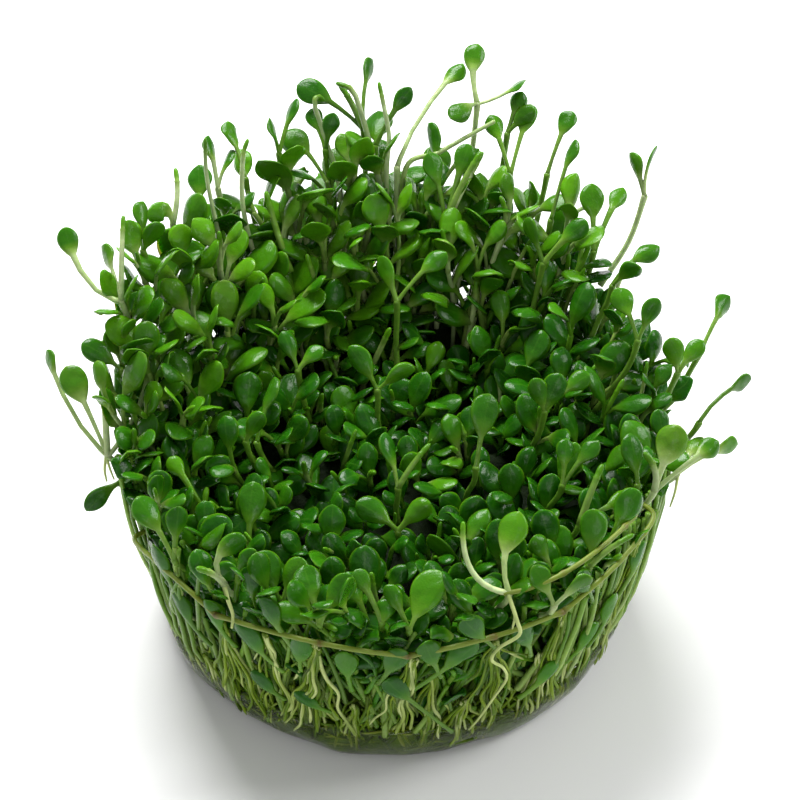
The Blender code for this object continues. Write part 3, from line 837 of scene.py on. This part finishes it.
def add_thin_stalks(mass, rng):
    """Thin stalks that stand between the shoots, each with a closed bud."""
    for x, y in spread(*THIN_STALKS, lambda: draw_round(rng, DEEP_REACH)):
        axis = outward(rng, x, y, 0.5)
        lean = unit(axis + rng.normal(0, 0.2, 3))
        head = np.array((x, y, top_height(x, y) + crown(x, y) + rng.uniform(-6, 2)))
        foot = head - lean * rng.uniform(11, 15)
        middle = (head + foot) / 2 + rng.normal(0, 1, 3)
        look = leaf_look(rng, 0.8, rng.choice((0, 0.3, 0.6)), 0.1)
        places = np.array((head, head - lean * 2))
        if room.crowding(places, STALK_ROOM) > 0.35:
            continue
        add_bud(mass.at(head), bezier_line(foot, middle, head), rng.uniform(0.95, 1.2), look)
        room.take(places, STALK_ROOM)


def add_wall_shoots(mass, rng):
    """Shoots that grew up along the cup's wall."""
    for run, height in spread(*WALL_SHOOTS, lambda: draw_wall(rng)):
        top = on_wall(math.degrees(run / LEAF_WALL), height, -rng.uniform(1.5, 5))
        away = away_from_axis(top)
        along = np.cross(UP, away) * np.clip(rng.normal(0, 0.5), -0.65, 0.65)
        axis = unit(UP + away * 0.2 + along)
        inset = rng.uniform(-0.8, 2.2)
        youth = 0.2 if height < 30 else 0.35
        grow_shoot(mass.at(top), top, axis, 2, rng, youth, 0.22, inset, 0.9, 12)


def add_wall_leaves(mass, rng):
    """The leaves that the cup pressed flat, low in the wall, and small ones among them."""
    for foot, tip, width in WALL_LEAVES:
        base, end = on_wall(*foot, 0.4), on_wall(*tip, 0.6)
        away = away_from_axis(base)
        line = bezier_line(base, (base + end) / 2 + away * 1.6 + UP * 0.6, end + away * 0.5)
        look = leaf_look(rng, 0.45, 0.1, 0.1)
        look |= {"curl": 0.15 + abs(look["curl"]), "ratio": 1.5, "depth": 0.42}
        add_leaf(mass.at(base), line, unit(np.cross(end - base, away)), width, look, 10)
        room.take(resampled(line, (0.5, 0.7, 0.9)), 1.6)

    for run, height in spread(*LYING_LEAVES, lambda: draw_wall(rng) - (0, 8)):
        base = on_wall(math.degrees(run / LEAF_WALL), height, -1.6)
        away = away_from_axis(base)
        round_wall = np.cross(UP, away)
        way = unit(UP + round_wall * rng.normal(0, 0.9))
        length = rng.uniform(7, 11)
        bend = round_wall * rng.normal(0, 1.6)
        line = bezier_line(base, base + way * length * 0.5 + bend, base + way * length)
        inset = rng.uniform(0, 2)
        line = pressed(line, inset + 0.5)
        look = leaf_look(rng, 0.35, 0.1, 0.15)
        look["curl"] *= 0.6
        side = unit(np.cross(way, away))
        add_leaf(mass.at(base), line, side, rng.uniform(3.4, 4.8), look, inset=inset)


def add_wall_stems(mass, rng):
    """Stems and stalks that rise up the wall out of the roots."""
    for _ in range(WALL_STEMS):
        bearing = rng.uniform(0, 360)
        low_end = rng.uniform(3, 19)
        high_end = min(low_end + rng.uniform(11, 22), 37)
        depth = rng.uniform(0.3, 2.4)
        foot = on_wall(bearing, low_end, -depth)
        head = on_wall(bearing + rng.normal(0, 6), high_end, -depth)
        middle = (foot + head) / 2 + rng.normal(0, 1.3, 3)
        line = pressed(bezier_line(foot, middle, head, 9), depth)
        radii = np.linspace(1.1, 0.85, 9) * rng.uniform(0.28, 0.52)
        greens = np.linspace(0.24, 0.44, 9) + rng.normal(0, 0.07)
        add_tube(mass.at(foot), line, radii, 7, greens, rng.random(), 0.3)


def add_long_stems(mass, rng):
    """Long stems that the cup pressed side by side, on the right and the left."""
    for number in range(LONG_STEMS):
        bearing = rng.uniform(-58, -6) if number % 3 else rng.uniform(-176, -138)
        low_end = rng.uniform(7, 21)
        high_end = min(low_end + rng.uniform(14, 27), 39.5)
        depth = rng.uniform(-1.2, 0.5)
        foot = on_wall(bearing, low_end, -depth - 1.2)
        head = on_wall(bearing + rng.normal(2, 3), high_end, -depth - 0.8)
        middle = (foot + head) / 2 + away_from_axis(foot) * 2.4 + rng.normal(0, 0.8, 3)
        line = pressed(bezier_line(foot, middle, head, 13), depth)
        radii = np.interp(range(13), (0, 5, 11, 12), (0.8, 1, 0.9, 1.3)) * rng.uniform(0.32, 0.5)
        greens = np.interp(range(13), (0, 4, 12), (0.12, 0.27, 0.42)) + rng.normal(0, 0.05)
        add_tube(mass.at(foot), line, radii, 8, np.clip(greens, 0.02, 1), rng.random(), 0.5)


def add_loose_stems(mass, rng):
    for points, bud in LOOSE_STEMS:
        # Each rises from deep among the leaves
        foot = np.array(points[0]) * (0.86, 0.86, 1) - UP * 15
        line = smooth_line((foot, *points), 8 * len(points))
        look = leaf_look(rng, 0.9, 1)
        tissue = mass.at(points[0])
        if bud:
            add_bud(tissue, line, 1.1, look)
        else:
            radii = np.linspace(0.5, 0.34, len(line))
            greens = np.linspace(0.2, 0.04, len(line))
            greens = np.append(greens, (0.1, 0.2, 0.3))
            add_tube(tissue, *rounded_end(line, radii), 8, greens, 0.5, 0.8)


def make_leaf_mass(material):
    """The mass, one kind of shoot or stem after another, all from one random source."""
    mass = Mass()
    rng = np.random.default_rng(8)
    kinds = (
        add_large, add_tall, add_top, add_deep, add_thin_stalks,
        add_wall_shoots, add_wall_leaves, add_wall_stems, add_long_stems, add_loose_stems,
    )
    for add in kinds:
        add(mass, rng)
    for number, tissue in enumerate(mass.sectors, 1):
        nodes = ["leaf_canopy"] if number == 1 else []
        tissue.as_object(f"leaf_mass_{number}", material, "leaf", nodes)


# Creeping stems and roots

ROOTS_IN_BUNDLE = 11
WALL_BUNDLES = 44
BUNDLE_STEP = 8.2
SINGLE_ROOTS = 820
JELLY_ROOTS = 400


def add_runner(line, radii, greens, ends, name, material, nodes):
    tissue = Tissue()
    add_tube(tissue, *rounded_end(line, radii), 12, np.append(greens, ends), 0.5, 0.3)
    tissue.as_object(name, material, "runner", nodes)


def make_runners(material):
    rng = np.random.default_rng(3)
    for name, stops in RUNNERS.items():
        points = [on_wall(bearing, height, RUNNER_REACH) for bearing, height in stops]
        # The ends reach into the joints, where the next stretch starts
        points[0] = points[0] + unit(points[0] - points[1]) * INTO_JOINT
        points[-1] = points[-1] + unit(points[-1] - points[-2]) * INTO_JOINT
        # The chain's outer ends turn in among the leaves
        if name == "runner_left":
            points.insert(0, on_wall(stops[0][0] - 3, stops[0][1] - 0.8, -END_DEPTH))
        if name == "runner_right":
            points.append(on_wall(stops[-1][0] + 3, stops[-1][1] + 0.8, -END_DEPTH))
        line = smooth_line(points, 8 * len(points) - 7)
        line = line + rng.normal(0, 0.012, line.shape)
        swell = np.ones(len(line))
        greens = np.full(len(line), 0.25)
        swell[[0, 1, -2, -1]] = (JOINT_SWELL, 1.15, 1.15, JOINT_SWELL)
        greens[[0, 1, -2, -1]] = (1, 0.6, 0.6, 1)
        add_runner(line, RUNNER_RADIUS * swell, greens, (1, 1, 1), name + "_stem", material, [name])
    line = smooth_line(RIM_RUNNER, 8 * len(RIM_RUNNER) - 7)
    radii = np.full(len(line), RUNNER_RADIUS * 0.95)
    greens = np.full(len(line), 0.4)
    radii[16::16] *= JOINT_SWELL
    greens[16::16] = 0.8
    add_runner(line, radii, greens, (0, 0, 0), "runner_rim_stem", material, [])


def wandering_line(way, count, wave, rng, step=None):
    """A root's way with soft waves that grow along it. Roots of one bundle wave in step."""
    shares = np.linspace(0, 1, count)
    line = resampled(way, shares)
    start, end = way[0], way[-1]
    down = unit(end - start)
    away = away_from_axis(start)
    across = unit(np.cross(down, away))
    phase = rng.uniform(0, 6.3, 3)
    turns = np.linalg.norm(end - start) / rng.uniform(7, 16, 3)
    if step is not None:
        phase[:2] = step + rng.normal(0, 0.5, 2)
        turns[:2] = np.linalg.norm(end - start) / np.array((11, 9))
    swing = np.sin(shares * turns[0] * 6.3 + phase[0]) + 0.4 * np.sin(shares * turns[1] * 9 + phase[1])
    sway = 0.4 * np.sin(shares * turns[2] * 6.3 + phase[2])
    grow = wave * share(shares * 4)
    return line + across * (swing * grow)[:, None] + away * (sway * grow)[:, None]


def add_root(tissue, way, wave, radius, rng, inset, shade=None, sides=6, step=None):
    count = int(max(8, length_of(way) * 1.25))
    line = wandering_line(way, count, wave, rng, step)
    radii = radius * (1 + 0.12 * np.sin(np.linspace(0, 9, count) + rng.uniform(0, 6)))
    radii[-1] *= 0.4
    shade = rng.uniform(0, 0.6) if shade is None else shade
    greens = share(shade + 0.25 * np.sin(np.linspace(0, 5, count) + rng.uniform(0, 6)))
    add_tube(tissue, line, radii, sides, greens, rng.random(), rng.random(), inset=inset)


def add_bundle(tissue, bearing, top, foot, fullness, rng, out):
    """Roots that leave one joint together and part as they go down the wall."""
    fan = rng.normal(0, 1.2)
    step = rng.uniform(0, 6.3)
    for _ in range(int(ROOTS_IN_BUNDLE * fullness)):
        away = rng.normal(0, 2.2) * fullness + fan
        drop = foot + rng.uniform(-4, 3) if rng.random() < 0.8 else (top + foot) / 2
        drop = max(drop, 1)
        start = on_wall(bearing + rng.normal(0, 0.5), top + rng.uniform(-0.6, 0.6), out)
        lower = out + rng.uniform(-0.8, 0.2)
        half = on_wall(bearing + away * 0.35, top * 0.62 + drop * 0.38, lower)
        end = on_wall(bearing + away * 1.35, drop, lower)
        way = bezier_line(start, half, end, 8)
        shade = rng.choice((0.2, 0.4, 0.6, 0.95))
        inset = -out - rng.uniform(0.1, 0.9)
        wave, radius = rng.uniform(0.2, 0.5), rng.uniform(0.18, 0.29)
        add_root(tissue, way, wave, radius, rng, inset, shade, step=step)


def make_tassels(material):
    rng = np.random.default_rng(4)
    for name, (bearing, top, foot, fullness) in TASSELS.items():
        tissue = Tissue()
        add_bundle(tissue, bearing, top, foot, fullness * 1.3, rng, 0.7)
        tissue.as_object(name + "_roots", material, "root", [name])


def make_root_felt(material):
    """The roots all round the wall, from among the lowest leaves down into the jelly."""
    rng = np.random.default_rng(6)
    quarters = [Tissue() for _ in range(4)]

    def quarter_at(bearing):
        return quarters[int(bearing // 90)]

    for number in range(WALL_BUNDLES):
        bearing = (number * BUNDLE_STEP + rng.uniform(-2, 2)) % 360
        top = rng.uniform(12, 27)
        foot = rng.uniform(2, 8)
        add_bundle(quarter_at(bearing), bearing, top, foot, rng.uniform(0.5, 1.1), rng, -0.3)
    for _ in range(SINGLE_ROOTS):
        bearing = rng.uniform(0, 360)
        top = rng.uniform(6, 19)
        foot = rng.uniform(0.8, 7.5)
        depth = rng.uniform(0.4, 2.2)
        start = on_wall(bearing, top, -depth)
        end = on_wall(bearing + rng.normal(0, 6), foot, -depth - rng.uniform(0, 0.6))
        wave, radius = rng.uniform(0.3, 0.8), rng.uniform(0.17, 0.29)
        add_root(quarter_at(bearing), np.array((start, end)), wave, radius, rng, 0.3, sides=5)
    for _ in range(JELLY_ROOTS):
        # Roots that run round the wall in the jelly
        bearing = rng.uniform(0, 360)
        height = rng.uniform(0.7, 8)
        depth = rng.uniform(0.5, 1.2)
        start = on_wall(bearing, height, -depth)
        turn = rng.normal(0, 10)
        end = on_wall(bearing + turn, np.clip(height + rng.normal(0, 2.5), 0.8, 8.4), -depth)
        wave, radius = rng.uniform(0.2, 0.6), rng.uniform(0.15, 0.24)
        add_root(quarter_at(bearing), np.array((start, end)), wave, radius, rng, 0.6, sides=5)
    pale = Tissue()
    for stops, radius in PALE_ROOTS:
        line = smooth_line(stops, 5 * len(stops))
        radii = np.linspace(radius, radius * 0.5, len(line))
        add_tube(pale, line, radii, 8, 1, 0.5, 1)
    pale.as_object("pale_roots", material, "root", [])
    for number, tissue in enumerate(quarters, 1):
        tissue.as_object(f"root_felt_{number}", material, "root", [])


def lumpy(x, y, z, cell):
    """Smooth lumps, as a sum of waves that never quite repeat."""
    return (
        np.sin(x / cell + 1.3 * np.sin(z / cell * 0.9))
        + np.sin(y / cell * 1.1 + 1.7 * np.sin(x / cell * 0.7 + 2))
        + np.sin(z / cell * 1.3 + 1.1 * np.sin(y / cell * 0.8 + 4))
    ) / 3


def turned_skin(profile, steps):
    """Rings of points round +Z, one ring for each radius and height of the profile."""
    around = -2 * np.pi * np.arange(steps) / steps
    across, ahead, level = np.cos(around), np.sin(around), np.ones(steps)
    return np.array([np.stack((r * across, r * ahead, z * level), 1) for r, z in profile])


def roughened(rings, side_push, floor_push):
    """Rings pushed in and out by lumps at their side, and up and down where they are flat."""
    x, y, z = np.moveaxis(rings, -1, 0)
    push = 1.2 * lumpy(x, y, z, 1.6) + 0.6 * lumpy(y, z, x, 0.62)
    radii = np.hypot(x, y)
    side = share((radii - 30) / 6)
    rings = widened(rings, 1 + side_push * push * side / np.maximum(radii, 1))
    rings[..., 2] += np.where(rings[..., 2] > 20, floor_push * push * (1 - side), 0)
    return rings


def skin_object(rings, marks, name, material, slot, nodes):
    tissue = Tissue()
    tissue.add_rings(rings, marks)
    tissue.as_object(name, material, slot, nodes)


MAT_FOOT = 9.6
MAT_TOP = 28.5
# How far inside the cup's wall the felt lies
MAT_DEPTH = 3.9


def make_root_mat(material):
    """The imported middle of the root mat, behind the roots and leaves of the wall."""
    profile = [(radius, MAT_FOOT) for radius in np.linspace(4, 34, 8)]
    profile += [(wall_radius(height) - MAT_DEPTH, height) for height in np.linspace(9.8, 28, 30)]
    profile += [(radius, MAT_TOP) for radius in np.linspace(35, 3, 16)]
    rings = roughened(turned_skin(profile, 160), 1, 1.2)
    rise = share((rings[..., 2] - 8) / 24)
    marks = marks_on(rings, rise, 0.5, 0.5, 0.5)
    skin_object(rings, marks, "root_mat_felt", material, "root_mat", ["root_mat"])


JELLY_TOP = 9
JELLY_PROFILE = (
    (36.5, 0.12), (37.2, 0.5), (37.9, 1.2), (38.5, 2.2), (39, 3.4), (39.4, 4.8),
    (39.7, 6.2), (39.9, 7.4), (39.7, 8.3), (39.2, 8.8), (38.4, JELLY_TOP),
)


def jelly_skin(inset, steps):
    """The slab's skin, or one this far inside it. Its edge is uneven, where it came off the cup."""
    profile = [(radius, inset) for radius in (2, 12, 22, 30, 34, 35.8 - inset)]
    top = JELLY_TOP - inset
    profile += [(radius - inset, min(max(height, inset), top)) for radius, height in JELLY_PROFILE]
    profile += [(radius - inset, top) for radius in (35, 28, 20, 10, 3)]
    rings = turned_skin(profile, steps)
    x, y, z = np.moveaxis(rings, -1, 0)
    radii = np.hypot(x, y)
    edge = share((radii - 35) / 3)
    angle = np.arctan2(y, x)
    push = 0.25 * np.sin(7 * angle + 1) + 0.15 * np.sin(17 * angle + 0.4 * z)
    push += 0.25 * lumpy(x, y, z * 1.5, 1.4) - 0.35
    return widened(rings, 1 + push * edge / np.maximum(radii, 1))


def make_sealed_felt(material):
    """The felt of fine roots that the jelly holds."""
    rings = roughened(jelly_skin(1.2, 300), 0.2, 0)
    skin_object(rings, marks_on(rings, 0.3, 0.3, 0.3, 0.3), "sealed_felt", material, "root", [])


def make_jelly(material):
    """The clear slab of growing jelly, flat below."""
    rings = jelly_skin(0, 200)
    skin_object(rings, marks_on(rings, 0.5, 0.5, 0.5, 0.5), "jelly", material, "jelly", ["jelly_slab"])


# Materials


class Nodes:
    """Short ways to add and join shader nodes."""

    def __init__(self, name):
        self.material = bpy.data.materials.new(name)
        self.material.use_nodes = True
        self.tree = self.material.node_tree
        self.shader = self.tree.nodes["Principled BSDF"]

    def add(self, kind, **settings):
        node = self.tree.nodes.new(kind)
        for key, value in settings.items():
            setattr(node, key, value)
        return node

    def feed(self, value, socket):
        """Joins a value to a socket, or sets it there where it is a number or a colour."""
        if isinstance(value, (int, float)):
            socket.default_value = value
        elif isinstance(value, tuple):
            socket.default_value = (*value, 1) if socket.type == "RGBA" else value
        else:
            self.tree.links.new(value, socket)

    def set(self, node=None, **values):
        """Feeds the inputs of a node, or of the shader, by their names."""
        for key, value in values.items():
            self.feed(value, (node or self.shader).inputs[key.replace("_", " ")])

    def noise(self, scale, detail=3, roughness=0.55):
        place = self.add("ShaderNodeTexCoord")
        node = self.add("ShaderNodeTexNoise")
        self.set(node, Scale=scale, Detail=detail, Roughness=roughness, Vector=place.outputs["Object"])
        return node.outputs["Fac"]

    def ramp(self, value, *stops):
        node = self.add("ShaderNodeValToRGB")
        elements = node.color_ramp.elements
        while len(elements) < len(stops):
            elements.new(0.5)
        for element, (place, colour) in zip(elements, stops):
            element.position = place
            element.color = (*colour, 1)
        self.set(node, Fac=value)
        return node.outputs["Color"]

    def spread(self, value, low, high, to_low, to_high):
        node = self.add("ShaderNodeMapRange")
        self.set(node, From_Min=low, From_Max=high, To_Min=to_low, To_Max=to_high, Value=value)
        return node.outputs["Result"]

    def maths(self, operation, first, second):
        node = self.add("ShaderNodeMath", operation=operation)
        self.feed(first, node.inputs[0])
        self.feed(second, node.inputs[1])
        return node.outputs["Value"]

    def mix(self, part, first, second):
        node = self.add("ShaderNodeMix", data_type="RGBA")
        self.set(node, Factor=part, A=first, B=second)
        return node.outputs["Result"]

    def speckle(self, scale, low, high, to_low, to_high, detail=3):
        return self.spread(self.noise(scale, detail), low, high, to_low, to_high)

    def marks(self):
        """Greenness, place across, tone and youth of the tissue here."""
        read = self.add("ShaderNodeAttribute", attribute_name="mark")
        split = self.add("ShaderNodeSeparateColor")
        self.set(split, Color=read.outputs["Color"])
        return split.outputs[0], split.outputs[1], split.outputs[2], read.outputs["Alpha"]

    def finished(self, colour, roughness, height, strength, distance, **settings):
        """The material, with a height that makes it uneven and its other settings."""
        bump = self.add("ShaderNodeBump")
        self.set(bump, Strength=strength, Distance=distance, Height=height)
        self.set(Base_Color=colour, Roughness=roughness, Normal=bump.outputs["Normal"], **settings)
        return self.material


def leaf_material():
    nodes = Nodes("glossostigma leaf")
    green, across, tone, youth = nodes.marks()
    colour = nodes.ramp(
        green,
        (0, (0.62, 0.74, 0.37)),
        (0.22, (0.34, 0.50, 0.11)),
        (0.45, (0.125, 0.280, 0.016)),
        (0.68, (0.036, 0.172, 0.003)),
        (0.86, (0.011, 0.094, 0.002)),
        (1, (0.003, 0.032, 0.001)),
    )
    young = nodes.spread(youth, 0.45, 1, 0, 0.75)
    young = nodes.maths("MULTIPLY", young, nodes.spread(green, 0.25, 0.6, 0, 1))
    colour = nodes.mix(young, colour, (0.125, 0.370, 0.005))
    colour = nodes.mix(nodes.spread(tone, 0, 1, 0.6, 0), colour, (0.006, 0.050, 0.002))
    mottle = nodes.speckle(900, 0.35, 0.65, 0, 0.22, detail=4)
    colour = nodes.mix(mottle, colour, (0.032, 0.155, 0.003))
    from_middle = nodes.maths("ABSOLUTE", nodes.maths("SUBTRACT", across, 0.5), 0)
    midrib = nodes.spread(from_middle, 0, 0.05, 0.2, 0)
    midrib = nodes.maths("MULTIPLY", midrib, nodes.spread(green, 0.5, 0.8, 0, 1))
    colour = nodes.mix(midrib, colour, (0.08, 0.22, 0.02))
    # Painted highlight: the blade's rim is made lighter
    margin = nodes.spread(from_middle, 0.40, 0.5, 0, 0.35)
    colour = nodes.mix(margin, colour, (0.12, 0.30, 0.010))
    rough = nodes.speckle(500, 0.3, 0.7, 0.12, 0.28)
    # Slow dents under a fine grain
    dents = nodes.maths("MULTIPLY", nodes.noise(420, 1), 2.2)
    grain = nodes.maths("MULTIPLY", nodes.noise(3200, 2), 0.3)
    return nodes.finished(
        colour, rough, nodes.maths("ADD", dents, grain), 0.35, 0.0005, Specular_IOR_Level=0.22,
        Subsurface_Weight=0.14, Subsurface_Scale=0.001, Subsurface_Radius=(0.4, 1, 0.1),
    )


def runner_material():
    nodes = Nodes("creeping stem")
    joint = nodes.marks()[0]
    colour = nodes.ramp(
        joint, (0, (0.18, 0.26, 0.020)), (0.5, (0.15, 0.20, 0.016)), (1, (0.12, 0.075, 0.015))
    )
    streak = nodes.speckle(700, 0.35, 0.7, 0, 0.5, detail=4)
    colour = nodes.mix(streak, colour, (0.16, 0.25, 0.02))
    return nodes.finished(
        colour, nodes.speckle(900, 0.3, 0.7, 0.3, 0.5), nodes.noise(1500), 0.3, 0.0003,
        Specular_IOR_Level=0.35, Subsurface_Weight=0.1, Subsurface_Scale=0.001,
    )


def root_material():
    nodes = Nodes("root")
    shade = nodes.marks()[0]
    colour = nodes.ramp(
        shade,
        (0, (0.050, 0.090, 0.003)),
        (0.3, (0.100, 0.190, 0.006)),
        (0.6, (0.19, 0.29, 0.014)),
        (1, (0.50, 0.59, 0.22)),
    )
    colour = nodes.mix(nodes.speckle(260, 0.45, 0.7, 0, 0.5), colour, (0.07, 0.15, 0.006))
    return nodes.finished(
        colour, nodes.speckle(1200, 0.3, 0.7, 0.25, 0.5), nodes.noise(2400), 0.2, 0.0002,
        Specular_IOR_Level=0.14,
        Subsurface_Weight=0.10, Subsurface_Scale=0.001, Subsurface_Radius=(1, 1, 0.4),
    )


def mat_material():
    nodes = Nodes("root mat")
    height = nodes.marks()[0]
    fibres = nodes.noise(1100, 6, 0.7)
    colour = nodes.ramp(
        fibres, (0.3, (0.03, 0.055, 0.003)), (0.5, (0.09, 0.15, 0.010)), (0.7, (0.18, 0.26, 0.03))
    )
    # It is dark where leaves keep the light off it
    colour = nodes.mix(nodes.spread(height, 0.1, 0.6, 0, 0.96), colour, (0.002, 0.010, 0.001))
    rough = nodes.spread(fibres, 0.3, 0.7, 0.4, 0.75)
    return nodes.finished(colour, rough, fibres, 0.8, 0.0008, Specular_IOR_Level=0.15)


def jelly_material():
    nodes = Nodes("clear jelly")
    uneven = nodes.noise(420)
    absorb = nodes.add("ShaderNodeVolumeAbsorption")
    nodes.set(absorb, Color=(0.74, 0.72, 0.14), Density=130)
    nodes.set(nodes.tree.nodes["Material Output"], Volume=absorb.outputs["Volume"])
    return nodes.finished(
        (0.92, 0.95, 0.30), 0.04, uneven, 0.3, 0.0005,
        Transmission_Weight=1, IOR=1.34, Specular_IOR_Level=0.25,
    )


# Camera, light and floor

CAMERA_ELEVATION = 44
CAMERA_DISTANCE = 480
CAMERA_TARGET = (1.1, 0, 43.3)
SENSOR = 36
FOCAL_PIXELS = 3032
FRAME_PIXELS = 800
LIT_POINT = (0, 0, 35)
FLOOR_HALF = 6
FLOOR_DROP = 0.0001


def make_camera():
    camera = bpy.data.cameras.new("camera")
    camera.sensor_width = SENSOR
    camera.lens = SENSOR * FOCAL_PIXELS / FRAME_PIXELS
    camera.clip_start = 0.01
    camera.clip_end = 20
    holder = bpy.data.objects.new("camera", camera)
    tilt = math.radians(CAMERA_ELEVATION)
    target = np.array(CAMERA_TARGET)
    holder.location = (target + CAMERA_DISTANCE * np.array((0, -math.cos(tilt), math.sin(tilt)))) * MM
    holder.rotation_euler = (math.radians(90 - CAMERA_ELEVATION), 0, 0)
    bpy.context.scene.collection.objects.link(holder)
    bpy.context.scene.camera = holder


def make_light(name, place, size, power):
    light = bpy.data.lights.new(name, "AREA")
    light.shape = "RECTANGLE"
    light.size = size[0] * MM
    light.size_y = size[1] * MM
    light.energy = power
    holder = bpy.data.objects.new(name, light)
    holder.location = np.array(place) * MM
    way = Vector((np.array(LIT_POINT) - np.array(place)) * MM)
    holder.rotation_euler = way.to_track_quat("-Z", "Y").to_euler()
    bpy.context.scene.collection.objects.link(holder)


def make_studio():
    scene = bpy.context.scene
    scene.view_settings.view_transform = "Standard"
    world = bpy.data.worlds.new("studio")
    world.use_nodes = True
    background = world.node_tree.nodes["Background"]
    background.inputs["Color"].default_value = (1, 1, 1, 1)
    background.inputs["Strength"].default_value = 0.40
    scene.world = world
    make_light("soft box above", (-90, 265, 450), (320, 260), 4.8)
    make_light("soft box front", (70, -420, 300), (200, 160), 0.3)
    make_light("soft box side", (420, 60, 330), (200, 180), 1.3)
    mesh = bpy.data.meshes.new("floor")
    corners = [(x * FLOOR_HALF, y * FLOOR_HALF, 0) for x, y in ((-1, -1), (1, -1), (1, 1), (-1, 1))]
    mesh.from_pydata(corners, [], [(0, 1, 2, 3)])
    nodes = Nodes("pale floor")
    nodes.set(Roughness=0.7, Base_Color=(0.93, 0.93, 0.93))
    mesh.materials.append(nodes.material)
    floor = bpy.data.objects.new("floor", mesh)
    floor.location.z = -FLOOR_DROP
    scene.collection.objects.link(floor)


make_camera()
make_studio()
leaf = leaf_material()
root = root_material()
make_clear_shoots(leaf)
make_leaf_mass(leaf)
make_runners(runner_material())
make_tassels(root)
make_root_felt(root)
make_root_mat(mat_material())
make_sealed_felt(root)
make_jelly(jelly_material())
